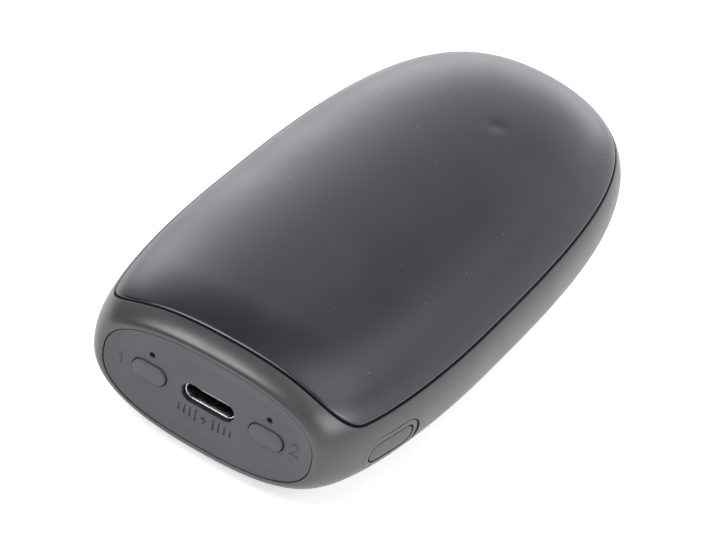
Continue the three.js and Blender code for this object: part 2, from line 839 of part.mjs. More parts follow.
// A switch with its plunger towards -Y of the place that it stands in.
function addSwitch(name, foot, x, y, z, turn = 0) {
  const place = new THREE.Group();
  place.position.set(x, y, z);
  place.rotation.z = turn;
  casing.add(place);
  piece(place, name + "_switch_body", switchBody(foot), finishes.darkPlastic());
  piece(place, name + "_switch_plunger", switchPlunger(), finishes.key());
}

for (const [name, side] of [["left", -1], ["right", 1]]) {
  const key = keyForm(keyHalfLength, keyHalfHeight, flangeFront);
  piece(casing, name + "_button", geometryOf(key), finishes.key()).position.set(side * keyOffset, keyFace, 0);
  piece(casing, name + "_light_pipe", lightPipe(), finishes.lens()).position.x = side * keyOffset;
  piece(casing, name + "_led", lamp(), finishes.lamp()).position.x = side * keyOffset;
  addSwitch(name, -footZ, side * keyOffset, keyFace + switchFront, 0);
  const screw = piece(casing, name + "_board_screw", boardScrew(), finishes.steel());
  screw.position.set(side * screwAcross, screwAlong, footZ);
  piece(casing, name + "_cell", cell(), finishes.cell()).position.set(side * cellOffset, cellFront, 0);
  piece(casing, name + "_cell_pad", sidePad(side), finishes.foam());
}

const sideStemHeight = sideKeyHeight + sideStemRise;
piece(casing, "side_button", sideKey(), finishes.key());
addSwitch("side", sideStemHeight - footZ, sideSwitchAcross, sideKeyAlong, sideStemHeight, Math.PI / 2);

piece(casing, "positive_link", positiveLink(), finishes.nickel());
piece(casing, "negative_link", linkStrip(cellRear + linkPlay), finishes.nickel());
piece(casing, "negative_lead", negativeLead(), finishes.lead());
for (const [name, side] of [["upper", 1], ["lower", -1]]) {
  const tailAcross = side < 0 ? -windowHalfWidth / 2 : 0;
  piece(casing, name + "_heater_film", heaterFilm(side), finishes.film());
  piece(casing, name + "_heater_tail", heaterTail(side, tailAcross), finishes.film());
  piece(casing, name + "_valley_foam", valleyFoam(side), finishes.foam());
  piece(casing, name + "_thermistor", sensor(side), finishes.chip());
}

const handWarmer = new THREE.Group();
handWarmer.add(casing);
export default handWarmer;
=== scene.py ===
"""The looks of a rechargeable hand warmer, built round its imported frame.

Sizes are in millimetres in the casing's own frame: X across, Y from the nose to the tail, and Z from
the plane half way between the two crowns. Points are moved into the frame, in metres, when a mesh is
made.
"""

import json
import math

import bmesh
import bpy
import numpy as np
from mathutils import Matrix, Vector


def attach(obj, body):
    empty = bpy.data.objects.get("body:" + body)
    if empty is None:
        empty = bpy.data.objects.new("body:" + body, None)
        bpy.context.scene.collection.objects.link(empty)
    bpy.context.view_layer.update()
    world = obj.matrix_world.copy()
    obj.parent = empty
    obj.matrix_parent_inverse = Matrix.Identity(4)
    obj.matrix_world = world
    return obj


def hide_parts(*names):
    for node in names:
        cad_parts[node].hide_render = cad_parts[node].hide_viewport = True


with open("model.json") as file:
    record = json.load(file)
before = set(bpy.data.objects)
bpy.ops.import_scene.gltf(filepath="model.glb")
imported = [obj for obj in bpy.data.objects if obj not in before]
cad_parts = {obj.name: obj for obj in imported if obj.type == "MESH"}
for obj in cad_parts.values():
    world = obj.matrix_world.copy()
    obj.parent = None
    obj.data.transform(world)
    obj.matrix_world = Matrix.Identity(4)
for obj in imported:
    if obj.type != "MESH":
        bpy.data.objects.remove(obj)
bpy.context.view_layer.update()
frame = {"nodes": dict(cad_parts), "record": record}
nodes = frame["nodes"]

MM = 0.001

# The casing's form
BODY_LENGTH = 100.0
BODY_WIDTH = 53.0
BODY_HEIGHT = 22.8
REST_DEPTH = 0.2
NOSE_TAPER = 8.0
SHOULDER_DROP = 2.9
WIDEST_AT = 38.0
FULL_HEIGHT_AT = 13.0
TAIL_FALL = 46.0
TAIL_PLAN_POWER = 3.1
TAIL_DROP_POWER = 6.0
TAIL_ROUND_POWER = 2.7
SECTION_POWER = 2.41
SECTION_POWER_LOSS = 0.25
SPINE_END = 74.0

# Shells and frame
SEAM_HEIGHT = 4.93
SEAM_FRONT = 3.62
SEAM_RADIUS = 4.1
SEAM_GAP = 0.27
SEAM_FRONT_GAP = 0.42
SHELL_WALL = 1.0
SHELL_BEVEL = 0.42
SHELL_BEVEL_DEPTH = 0.24
CROWN_FRONT = 24.0
CROWN_REAR = 78.0
DENT_ACROSS = 3.6
DENT_ALONG = 74.2
DENT_WIDTH = 1.25
DENT_DEPTH = 0.1
FRAME_EDGE = 0.05
# The dark strip in each seam's groove, which is painted shade
PAINTED_SHADE_AT_SHELL = 0.3
PAINTED_SHADE_AT_FRAME = 0.09
PAINTED_SHADE_THICKNESS = 0.3
PAINTED_SHADE_OVERRUN = 0.03
GAP_DEPTH = 1.05
LIP_HEIGHT = 1.2
LIP_OUTSIDE = 1.2
FRAME_INSIDE = 2.1
NOSE_WALL = 4.0
RIM_EDGE = 0.14

# End panel
PANEL_HALF_WIDTH = 18.08
PANEL_HALF_HEIGHT = 8.18
PANEL_GAP = 0.12
PANEL_POWER = 2.5
PANEL_FACE = 0.45
PANEL_BACK = 2.5
PANEL_RIM_WIDTH = 1.9
PANEL_RIM_RISE = 0.33
PANEL_EDGE = 0.1
PANEL_EDGE_SHARE = 0.06
PANEL_SLOPE_SHARES = (0.2, 0.4, 0.6, 0.8)
PANEL_FOOT_SHARE = 0.88
PANEL_FOOT = 0.2
PANEL_FLAT_MARGIN = 0.1
PANEL_LEDGE = 1.2
HOLE_EDGE = 0.1

# Marks on the panel
NUMERAL_DEPTH = 0.08
NUMERAL_STROKE = 0.28
NUMERAL_HALF_HEIGHT = 1.02
ONE_PLACE = (-15.1, -0.1)
ONE_FLAG_WIDTH = 0.45
ONE_FLAG_HEIGHT = 0.62
TWO_PLACE = (15.0, 0.55)
TWO_BOW_RADIUS = 0.62
TWO_BOW_HEIGHT = 0.42
TWO_BOW_FROM = 165
TWO_BOW_TO = -38
TWO_FOOT_FROM = -0.6
TWO_FOOT_TO = 0.72
MARK_DEPTH = 0.16
MARK_HEIGHT = -3.05
BOLT_HALF_HEIGHT = 1.15
BOLT_LEAN = 0.34
BOLT_HALF_WIDTH = 0.72
BOLT_WAIST = 0.1
BOLT_STEP = 0.16
BARS = 4
BAR_START = 1.55
BAR_SPACING = 0.98
BAR_HALF_HEIGHT = 0.95
BAR_SHORTENING = 0.16
BAR_STROKE = 0.36

# Keys
KEY_OFFSET = 10.2
KEY_HALF_LENGTH = 2.92
KEY_HALF_HEIGHT = 1.5
KEY_GAP = 0.15
KEY_EDGE = 0.3
KEY_CROWN = 0.06
FLANGE_RIM = 0.7
FLANGE_FRONT = 2.6
FLANGE_THICKNESS = 0.6
STEM_HALF_WIDTH = 1.2
STEM_HALF_HEIGHT = 0.55
STEM_LENGTH = 0.7
PIN_HEIGHT = 3.2
PIN_HOLE_RADIUS = 0.48

# Side key
SIDE_KEY_ALONG = 12.7
SIDE_KEY_HEIGHT = -0.9
SIDE_KEY_HALF_LENGTH = 4.55
SIDE_KEY_HALF_HEIGHT = 1.6
SIDE_KEY_GAP = 0.26
SIDE_KEY_EDGE = 0.1
SIDE_KEY_FACE = 24.47
SIDE_KEY_INSIDE = 21.51
SIDE_FLANGE_FRONT = 3.06
SIDE_STEM_RISE = 0.4
SIDE_MARGIN = 1.25
SIDE_DEPTH = 0.16
SIDE_FRONT_SHARE = 0.4
SIDE_SLOPE_FROM = 6.5
SIDE_SLOPE_RUN = 7.0
SIDE_EDGE = 0.05
SIDE_GROOVE = 0.16
SIDE_GROOVE_WIDTH = 0.16
OUTSIDE_SHARES = (0.35, 0.7, 0.9)
FLOOR_SHARES = (0.1, 0.4, 0.8)
# The dark ring in the side key's groove, which is painted shade
PAINTED_SHADE_RING_DEPTH = 0.03
PAINTED_SHADE_RING_THICKNESS = 0.1
PATCH_MARGIN = 0.55

# Charging port
PORT_HALF_WIDTH = 4.47
PORT_HALF_HEIGHT = 1.58
PORT_LENGTH = 7.35
PORT_RIM = 1.15
PORT_RISE = 0.25
PORT_METAL = 0.3
PORT_GAP = 0.12
PORT_EDGE = 0.1
PORT_INNER_EDGE = 1.5 * PORT_EDGE
# The dark liner on the port hole's wall, which is painted shade
PORT_SHADE_OUTSIDE = 0.005
PORT_SHADE_INSIDE = 0.05
INSERT_LENGTH = 1.6
INSERT_GAP = 0.05
TONGUE_HALF_WIDTH = 3.35
TONGUE_HALF_HEIGHT = 0.35
TONGUE_LENGTH = 4.5
TONGUE_EDGE = 0.12
TIP_PLATE_INSET = 0.5
TIP_PLATE_HALF_HEIGHT = 0.28
TIP_PLATE_PROUD = 0.05
TIP_PLATE_DEPTH = 0.3
CONTACTS = 12
CONTACT_PITCH = 0.5
CONTACT_HALF_WIDTH = 0.13
CONTACT_FRONT = 0.55
CONTACT_REAR = 0.1
CONTACT_SUNK = 0.05
CONTACT_PROUD = 0.02
CORNER_SHARE = 0.2

# Fineness of the meshes
FRONT_STEPS = 30
ARC_STEPS = 12
SIDE_STEPS = 110
SKIN_STEPS = 46
LOWER_STEPS = 9
MIDDLE_STEPS = 26
UPPER_STEPS = 13
NOSE_STEPS = 16
CAP_STEPS = 14
EDGE_STEPS = 5
ROUND_STEPS = 16
STRAIGHT_STEPS = 9
OVAL_STEPS = 176
FINE_STEPS = 20000
HOLE_STEPS = 28
CORNER_STEPS = 4
STROKE_END_STEPS = 6
BOW_STEPS = 11
KEY_STEPS = 9
HALVINGS = 50
SKIN_CROWDING = 1.5
CAP_CROWDING = 3
INNER_SKIN_SKIPS = 4
MITRE_MOST = 2.0
SUPPORT_STEP = 0.06
SHARP_ANGLE = 35.0
WELD = 2e-4
TINY = 1e-12

HALF_HEIGHT = (BODY_HEIGHT + REST_DEPTH) / 2
REST_Z = REST_DEPTH - HALF_HEIGHT
CASING_ORIGIN = np.array([0.0, -BODY_LENGTH / 2, -REST_Z])
FLIP_X = np.array([-1.0, 1.0, 1.0])
SIDE_KEY_MIDDLE = np.array([SIDE_KEY_ALONG, SIDE_KEY_HEIGHT])
RECESS_REACH = SIDE_KEY_HALF_HEIGHT + SIDE_MARGIN
PORT_MIDDLE = np.array([0.0, PORT_RISE])
PORT_BACK = PORT_RIM + PORT_LENGTH
PORT_HOLE = (PORT_HALF_WIDTH + PORT_GAP, PORT_HALF_HEIGHT + PORT_GAP)


def in_row(points):
    """Points of the casing's frame, in millimetres, as points of the row frame, in metres."""
    return (np.asarray(points, float) + CASING_ORIGIN) * MM


def places(*axes):
    """Points from their values along each axis, where a single number holds for all of them."""
    return np.stack(np.broadcast_arrays(*axes), -1)


# The casing's form in numbers


def round_end(share, power=2.0, root_power=None):
    """Falls from 1 to 0 as the share of the way goes from 0 to 1, as a round end does."""
    left = np.clip(1 - np.clip(share, 0, 1) ** power, 0, 1)
    return left ** (1 / (root_power or power))


def half_width(y, inset=0.0):
    y = np.asarray(y, float)
    full = BODY_WIDTH / 2 - inset
    tail = full * round_end((y - WIDEST_AT) / (BODY_LENGTH - inset - WIDEST_AT), TAIL_PLAN_POWER)
    nose = full - NOSE_TAPER * (1 - round_end((WIDEST_AT - y) / (WIDEST_AT - inset)))
    return np.where(y > WIDEST_AT, tail, nose)


def half_height(y, inset=0.0):
    y = np.asarray(y, float)
    full = HALF_HEIGHT - inset
    fall_from = BODY_LENGTH - TAIL_FALL
    share = (y - fall_from) / (TAIL_FALL - inset)
    tail = full * round_end(share, TAIL_DROP_POWER, TAIL_ROUND_POWER)
    nose = full - SHOULDER_DROP * (1 - round_end((FULL_HEIGHT_AT - y) / (FULL_HEIGHT_AT - inset)))
    return np.where(y > fall_from, tail, nose)


def power_at(y):
    return SECTION_POWER - SECTION_POWER_LOSS * np.asarray(y, float) / BODY_LENGTH


def across(y, z, inset=0.0):
    """Half the form's width at a height."""
    power = power_at(y)
    share = np.abs(z) / np.maximum(half_height(y, inset), TINY)
    return half_width(y, inset) * np.clip(1 - share**power, 0, 1) ** (1 / power)


def crown(x, y, inset=0.0):
    """The form's height over the middle plane."""
    power = power_at(y)
    share = np.abs(x) / np.maximum(half_width(y, inset), TINY)
    return half_height(y, inset) * np.clip(1 - share**power, 0, 1) ** (1 / power)


def size_in_form(x, y, z, inset):
    """Under 1 inside the form's section and over 1 outside it."""
    power = power_at(y)
    wide = np.maximum(half_width(y, inset), TINY)
    high = np.maximum(half_height(y, inset), TINY)
    return (np.abs(x) / wide) ** power + (np.abs(z) / high) ** power


def onto_section(points, inset=0.0):
    """Moves points within their sections until they lie on the form, drawn in by inset."""
    x, y, z = np.asarray(points, float).T
    scale = np.maximum(size_in_form(x, y, z, inset), TINY) ** (-1 / power_at(y))
    return places(x * scale, y, z * scale)


def onto_form(points, inset):
    """Moves points towards or away from the casing's spine until they lie on the form."""
    points = np.asarray(points, float)
    spine = np.zeros_like(points)
    spine[:, 1] = np.minimum(points[:, 1], SPINE_END)
    near = np.zeros(len(points))
    far = near + 2
    for _ in range(HALVINGS):
        middle = (near + far) / 2
        x, y, z = (spine + (points - spine) * middle[:, None]).T
        inside = (size_in_form(x, y, z, inset) < 1) & (y < BODY_LENGTH - inset)
        near = np.where(inside, middle, near)
        far = np.where(inside, far, middle)
    return spine + (points - spine) * near[:, None]


# The seam between a shell and the frame


def seam_curve(outward, inset=0.0):
    """The right half of the top seam, from the front's middle to the tail.

    It is moved outward towards the frame, and lies on the form drawn in by inset. The gap is
    wider at the front.
    """
    front = SEAM_FRONT - outward - max(outward, 0.0) * (SEAM_FRONT_GAP / SEAM_GAP - 1)
    low = SEAM_HEIGHT - outward
    radius = SEAM_RADIUS + outward
    centre_y = front + radius
    centre_z = low + radius
    power = power_at(front)
    corner = np.arcsin((centre_z / half_height(front, inset)) ** (power / 2))
    angle = np.linspace(np.pi / 2, corner, FRONT_STEPS + 1)[:-1]
    front_x = half_width(front, inset) * np.abs(np.cos(angle)) ** (2 / power)
    front_x[0] = 0.0
    front_z = half_height(front, inset) * np.sin(angle) ** (2 / power)
    turn = np.linspace(0, np.pi / 2, ARC_STEPS + 1)[:-1]
    arc_y = centre_y - radius * np.cos(turn)
    arc_z = centre_z - radius * np.sin(turn)
    fall = TAIL_FALL - inset
    share = (low / (HALF_HEIGHT - inset)) ** TAIL_ROUND_POWER
    reach = BODY_LENGTH - TAIL_FALL + fall * (1 - share) ** (1 / TAIL_DROP_POWER)
    side_y = centre_y + (reach - centre_y) * np.sin(np.linspace(0, np.pi / 2, SIDE_STEPS + 1))
    side_x = across(side_y, low, inset)
    side_x[-1] = 0.0
    arc = places(across(arc_y, arc_z, inset), arc_y, arc_z)
    return np.concatenate([places(front_x, front, front_z), arc, places(side_x, side_y, low)])


def seam_inwards():
    """For each point of a seam curve, the direction in the seam's own surface into the shell."""
    turn = np.linspace(0, np.pi / 2, ARC_STEPS + 1)[:-1]
    angle = np.concatenate([np.zeros(FRONT_STEPS), turn, np.full(SIDE_STEPS + 1, np.pi / 2)])
    return places(0.0, np.cos(angle), np.sin(angle))


def whole(half):
    """A closed ring from its right half, whose first and last points lie in the middle plane."""
    return np.concatenate([half, half[-2:0:-1] * FLIP_X])


def rounded(start, corner, end, steps=EDGE_STEPS):
    """Rings that turn softly from start to end round a corner, both ends included."""
    return [
        (1 - t) ** 2 * start + 2 * t * (1 - t) * corner + t**2 * end
        for t in np.linspace(0, 1, steps + 1)
    ]


# Outlines across two axes


def pill_outline(half_length, half_high, drawn_in=0.0):
    """A pill round the origin, as a closed loop of places along and up."""
    straight = half_length - half_high
    radius = half_high - drawn_in
    angle = np.linspace(-np.pi / 2, np.pi / 2, ROUND_STEPS + 1)
    far = places(straight + radius * np.cos(angle), radius * np.sin(angle))
    near = -far
    share = np.linspace(0, 1, STRAIGHT_STEPS + 1)[1:-1, None]
    top = far[-1] + (near[0] - far[-1]) * share
    bottom = near[-1] + (far[0] - near[-1]) * share
    return np.concatenate([far, top, near, bottom])


def circle_outline(radius):
    angle = np.linspace(0, 2 * np.pi, HOLE_STEPS, endpoint=False)
    return radius * places(np.cos(angle), np.sin(angle))


def box_outline(half_length, half_high, drawn_in=0.0):
    """A rectangle with small round corners, drawn in evenly."""
    radius = CORNER_SHARE * half_high
    loop = []
    for k, (sx, sz) in enumerate([(1, 1), (-1, 1), (-1, -1), (1, -1)]):
        for angle in np.linspace(0, np.pi / 2, CORNER_STEPS + 1) + k * np.pi / 2:
            x = sx * (half_length - radius) + (radius - drawn_in) * math.cos(angle)
            z = sz * (half_high - radius) + (radius - drawn_in) * math.sin(angle)
            loop.append((x, z))
    return np.array(loop)


def on_oval(angle, half_w, half_h):
    cos, sin = np.cos(angle), np.sin(angle)
    x = half_w * np.sign(cos) * np.abs(cos) ** (2 / PANEL_POWER)
    z = half_h * np.sign(sin) * np.abs(sin) ** (2 / PANEL_POWER)
    return places(x, z)


def oval_outline(drawn_in=0.0):
    """The panel's rounded oval, whose points are spaced evenly along its full size."""
    fine = np.linspace(0, 2 * np.pi, FINE_STEPS + 1)
    step = np.diff(on_oval(fine, PANEL_HALF_WIDTH, PANEL_HALF_HEIGHT), axis=0)
    run = np.concatenate([[0], np.cumsum(np.hypot(*step.T))])
    angle = np.interp(np.linspace(0, run[-1], OVAL_STEPS, endpoint=False), run, fine)
    return on_oval(angle, PANEL_HALF_WIDTH - drawn_in, PANEL_HALF_HEIGHT - drawn_in)


def stroke_outline(path, width):
    """The outline of a line of even width with round ends along a path."""
    path = np.asarray(path, float)
    way = np.diff(path, axis=0)
    way /= np.linalg.norm(way, axis=1, keepdims=True)
    side = places(-way[:, 1], way[:, 0])
    joint = np.vstack([side[:1], side[:-1] + side[1:], side[-1:]])
    joint /= np.linalg.norm(joint, axis=1, keepdims=True)
    stretch = np.ones(len(path))
    stretch[1:-1] = 1 / np.maximum((joint[1:-1] * side[1:]).sum(1), 1 / MITRE_MOST)
    offset = joint * stretch[:, None] * width / 2

    def end_cap(centre, outward):
        start = math.atan2(outward[1], outward[0]) + math.pi / 2
        turns = start - np.linspace(0, math.pi, STROKE_END_STEPS + 1)[1:-1]
        return centre + places(np.cos(turns), np.sin(turns)) * width / 2

    far_end, near_end = end_cap(path[-1], way[-1]), end_cap(path[0], -way[0])
    return np.concatenate([path + offset, far_end, (path - offset)[::-1], near_end])


# Meshes


class Form:
    """A mesh in the making: points in millimetres and the faces over them."""

    def __init__(self, rings=None):
        self.points = np.zeros((0, 3))
        self.faces = []
        if rings:
            self.rings(rings)

    def add(self, points):
        points = np.asarray(points, float).reshape(-1, 3)
        first = len(self.points)
        self.points = np.concatenate([self.points, points])
        return np.arange(first, first + len(points))

    def grid(self, points, skip=None, closed=False):
        """Quads over a grid of points, apart from the rows and columns of a patch."""
        ids = self.add(points).reshape(points.shape[:2])
        rows, columns = ids.shape
        for i in range(rows - 1):
            for j in range(columns if closed else columns - 1):
                if skip and skip[0] <= i < skip[1] and skip[2] <= j < skip[3]:
                    continue
                k = (j + 1) % columns
                self.faces.append((ids[i, j], ids[i, k], ids[i + 1, k], ids[i + 1, j]))

    def rings(self, rings):
        """A skin over closed rings of equal length."""
        self.grid(np.array(rings), closed=True)

    def plate(self, loops, place):
        """A face inside the first flat loop, with the other loops as holes in it."""
        bm = bmesh.new()
        edges = []
        for loop in loops:
            made = [bm.verts.new((a, b, 0.0)) for a, b in loop]
            edges += [bm.edges.new(pair) for pair in zip(made, made[1:] + made[:1])]
        bmesh.ops.triangle_fill(bm, use_beauty=True, use_dissolve=False, edges=edges)
        bm.verts.index_update()
        ids = self.add(place(np.array([v.co[:2] for v in bm.verts])))
        for face in bm.faces:
            self.faces.append(tuple(ids[v.index] for v in face.verts))
        bm.free()

    def mirror(self, axis, first_point, first_face):
        """Adds a mirror image of everything from a mark on."""
        points = self.points[first_point:].copy()
        points[:, axis] *= -1
        shift = len(self.points) - first_point
        self.add(points)
        self.faces += [tuple(i + shift for i in face) for face in self.faces[first_face:]]


def add_object(name, data):
    made = bpy.data.objects.new(name, data)
    bpy.context.scene.collection.objects.link(made)
    return made


def make(name, form, material, body, slot, *replaced):
    """A piece from a form: welded, its faces turned out, and riding on its body."""
    mesh = bpy.data.meshes.new(name)
    mesh.from_pydata(in_row(form.points).tolist(), [], [[int(i) for i in f] for f in form.faces])
    bm = bmesh.new()
    bm.from_mesh(mesh)
    bmesh.ops.remove_doubles(bm, verts=bm.verts, dist=WELD * MM)
    bmesh.ops.dissolve_degenerate(bm, dist=WELD * MM, edges=bm.edges)
    bmesh.ops.recalc_face_normals(bm, faces=bm.faces)
    sharp = math.radians(SHARP_ANGLE)
    for face in bm.faces:
        face.smooth = True
    for edge in bm.edges:
        edge.smooth = edge.calc_face_angle(0.0) < sharp
    bm.to_mesh(mesh)
    bm.free()
    mesh.materials.append(material)
    piece = add_object(name, mesh)
    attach(piece, body)
    if replaced:
        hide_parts(*replaced)
    return piece


# The metal shells


def shell_form(side):
    """A shell: its outer skin, the fine bevel and the wall at the seam, and its inner skin."""
    start = seam_curve(-SHELL_BEVEL - SUPPORT_STEP)
    bevel = rounded(seam_curve(-SHELL_BEVEL), seam_curve(0.0), seam_curve(0.0, SHELL_BEVEL_DEPTH))
    wall = seam_curve(0.0, SHELL_WALL)

    def skin(edge, inset, shares):
        middle = np.clip(edge[:, 1], CROWN_FRONT, CROWN_REAR)
        rings = []
        for share in shares:
            x = edge[:, 0] * share
            y = middle + (edge[:, 1] - middle) * share
            rings.append(whole(places(x, y, crown(x, y, inset))))
        return rings

    shares = 1 - np.linspace(1, 0, SKIN_STEPS) ** SKIN_CROWDING
    inner_shares = shares[:-INNER_SKIN_SKIPS][::-1]
    support = seam_curve(0.0, SHELL_BEVEL_DEPTH + SUPPORT_STEP)
    edge = [whole(ring) for ring in (*bevel, support, wall)]
    form = Form([*skin(start, 0.0, shares), *edge, *skin(wall, SHELL_WALL, inner_shares)])
    form.points[:, 2] *= side
    if side < 0:
        form.points[:, 2] = np.maximum(form.points[:, 2], REST_Z)
    return form


def add_dent(form):
    """A shallow dent in the upper crown, through both skins."""
    away = np.hypot(form.points[:, 0] - DENT_ACROSS, form.points[:, 1] - DENT_ALONG)
    form.points[:, 2] -= DENT_DEPTH * np.exp(-((away / DENT_WIDTH) ** 2))


def seam_painted_shade_form(side):
    """A dark strip at the bottom of the seam's groove: painted shade, which makes the gap read black.
    """
    corners = [
        (-PAINTED_SHADE_OVERRUN, PAINTED_SHADE_AT_SHELL),
        (SEAM_GAP + PAINTED_SHADE_OVERRUN, PAINTED_SHADE_AT_FRAME),
        (SEAM_GAP + PAINTED_SHADE_OVERRUN, PAINTED_SHADE_AT_FRAME + PAINTED_SHADE_THICKNESS),
        (-PAINTED_SHADE_OVERRUN, PAINTED_SHADE_AT_SHELL + PAINTED_SHADE_THICKNESS),
    ]
    form = Form([whole(seam_curve(*corner)) for corner in corners + corners[:1]])
    form.points[:, 2] *= side
    return form


# The plastic frame


def side_levels(top):
    """Heights from the lower seam to the upper one, which meet the side key's patch evenly."""
    low = SIDE_KEY_HEIGHT - SIDE_KEY_HALF_HEIGHT - SIDE_MARGIN - PATCH_MARGIN
    high = SIDE_KEY_HEIGHT + SIDE_KEY_HALF_HEIGHT + SIDE_MARGIN + PATCH_MARGIN
    lower = np.linspace(-top, low, LOWER_STEPS + 1)[:-1]
    middle = np.linspace(low, high, MIDDLE_STEPS + 1)[:-1]
    return np.concatenate([lower, middle, np.linspace(high, top, UPPER_STEPS + 1)])


def side_band(seam, inset):
    """The right side between the two seams, a row of heights for each point of the seam."""
    rows = []
    for point in seam[FRONT_STEPS:]:
        z = side_levels(point[2])
        y = np.full_like(z, point[1])
        x = across(y, z, inset)
        x[0] = x[-1] = point[0]
        rows.append(places(x, y, z))
    return np.array(rows)


def full_ring(front_half, side_row):
    """A whole section in front of the seams, from a seam's front and a side row."""
    lower = front_half * np.array([1.0, 1.0, -1.0])
    right = np.concatenate([lower[:-1], side_row, front_half[::-1][1:]])
    return whole(right)


def moved_to(ring, y, inset=0.0):
    moved = ring.copy()
    moved[:, 1] = y
    return onto_section(moved, inset)


def oval_like(ring, half_w, half_h, y):
    """A ring's points moved radially onto a rounded oval at y."""
    x, z = ring[:, 0], ring[:, 2]
    size = (np.abs(x) / half_w) ** PANEL_POWER + (np.abs(z) / half_h) ** PANEL_POWER
    scale = size ** (-1 / PANEL_POWER)
    return places(x * scale, y, z * scale)


def seam_edges(form):
    """The frame's edges along both seams, with the lip that stands inside the shells."""
    start = seam_curve(SEAM_GAP + FRAME_EDGE)
    gap_end = seam_curve(SEAM_GAP, GAP_DEPTH)
    lip_foot = onto_form(gap_end, LIP_OUTSIDE)
    lip_top = onto_form(lip_foot + seam_inwards() * (SEAM_GAP + LIP_HEIGHT), LIP_OUTSIDE)
    lip_inside = onto_form(lip_top, FRAME_INSIDE)
    edge = rounded(start, seam_curve(SEAM_GAP), seam_curve(SEAM_GAP, FRAME_EDGE))
    first_point, first_face = len(form.points), len(form.faces)
    form.rings([whole(r) for r in [*edge, gap_end, lip_foot, lip_top, lip_inside]])
    form.mirror(2, first_point, first_face)
    return start, lip_inside


def frame_form():
    """The frame: its nose, side band and tail, the edges at the seams, and its inside."""
    form = Form()
    outside, inside = seam_edges(form)
    patch_front = SIDE_KEY_ALONG - SIDE_KEY_HALF_LENGTH - SIDE_MARGIN - PATCH_MARGIN
    patch_rear = SIDE_KEY_ALONG + SIDE_KEY_HALF_LENGTH + SIDE_MARGIN + PATCH_MARGIN
    low, high = LOWER_STEPS, LOWER_STEPS + MIDDLE_STEPS
    loops, sections, ends = [], [], []
    for seam, inset in ((outside, 0.0), (inside, FRAME_INSIDE)):
        band = side_band(seam, inset)
        first = int(np.searchsorted(band[:, 0, 1], patch_front)) - 1
        last = int(np.searchsorted(band[:, 0, 1], patch_rear))
        form.grid(band, skip=(first, last, low, high))
        form.grid(band * FLIP_X)
        foot, rear = band[first:last, low], band[last, low:high]
        head, front = band[last:first:-1, high], band[first, high:low:-1]
        loops.append(np.concatenate([foot, rear, head, front]))
        sections.append(full_ring(seam[: FRONT_STEPS + 1], band[0]))
        ends.append((band[-1], inset))
    for row, inset in ends:
        add_tail_cap(form, row, inset)
    add_nose(form, *sections)
    add_key_recess(form, *loops)
    return form


def add_tail_cap(form, row, inset):
    """A cap from the last section before the tail, whose right half is a row, to the tip."""
    ring = whole(row)
    begin, tip = row[0, 1], BODY_LENGTH - inset
    caps = [ring]
    for share in np.linspace(0, 1, CAP_STEPS + 1)[1:-1]:
        y = begin + (tip - begin) * (1 - (1 - share) ** CAP_CROWDING)
        shrunk = ring.copy()
        shrunk[:, 0] *= half_width(y, inset) / half_width(begin, inset)
        shrunk[:, 2] *= half_height(y, inset) / half_height(begin, inset)
        caps.append(moved_to(shrunk, y, inset))
    form.rings([*caps, np.tile([0.0, tip, 0.0], (len(ring), 1))])


def add_nose(form, outer, inner):
    """The nose, its rim round the panel's pocket, and the passage behind the pocket."""
    shares = np.linspace(1, 0, NOSE_STEPS + 1)[1:]
    nose = [outer, *(moved_to(outer, outer[0, 1] * s * s) for s in shares)]

    def oval(grown, y):
        return oval_like(nose[-1], PANEL_HALF_WIDTH + grown, PANEL_HALF_HEIGHT + grown, y)

    gap = PANEL_GAP
    rim = rounded(oval(gap + RIM_EDGE, 0.0), oval(gap, 0.0), oval(gap, RIM_EDGE))
    pocket = [oval(gap, PANEL_BACK), oval(-PANEL_LEDGE, PANEL_BACK)]
    passage = oval(-PANEL_LEDGE, NOSE_WALL)
    behind = moved_to(inner, NOSE_WALL, FRAME_INSIDE)
    form.rings([*nose, *rim, *pocket, passage, behind, inner])


def toward_side_key(outline, distance):
    """Places at a distance from the side key's middle line, straight in from an outline's points."""
    reach = SIDE_KEY_HALF_LENGTH - SIDE_KEY_HALF_HEIGHT
    along = np.clip(outline[:, 0], SIDE_KEY_ALONG - reach, SIDE_KEY_ALONG + reach)
    centre = places(along, SIDE_KEY_HEIGHT)
    way = outline - centre
    return centre + way / np.linalg.norm(way, axis=1, keepdims=True) * distance


def on_flank(outline, depth):
    """Places along Y and Z on the right flank, a depth under the form."""
    y, z = outline.T
    return places(across(y, z, depth), y, z)


def at_x(outline, x):
    return places(x, *outline.T)


def eased(share):
    """Softens a share at both its ends."""
    share = np.clip(share, 0, 1)
    return share * share * (3 - 2 * share)


def recess_share(flat):
    """The share of its depth that the side key's recess has: less at its front, none at its foot."""
    along = eased((flat[:, 0] - SIDE_SLOPE_FROM) / SIDE_SLOPE_RUN)
    up = eased(1 + (flat[:, 1] - SIDE_KEY_HEIGHT) / RECESS_REACH)
    return (SIDE_FRONT_SHARE + (1 - SIDE_FRONT_SHARE) * along) * up


def recess_ring(loop, distance, sunk, more=0.0):
    """A ring at a distance from the key's middle line, on the form, on the recess or deeper."""
    flat = toward_side_key(loop, distance)
    return on_flank(flat, recess_share(flat) * (SIDE_DEPTH * sunk + more))


def groove_edges(loop):
    """The distances of the groove's outer and inner edge, which meet at the recess's foot."""
    half = SIDE_GROOVE_WIDTH / 2 * recess_share(toward_side_key(loop, RECESS_REACH))[:, None]
    return RECESS_REACH + half, RECESS_REACH - half


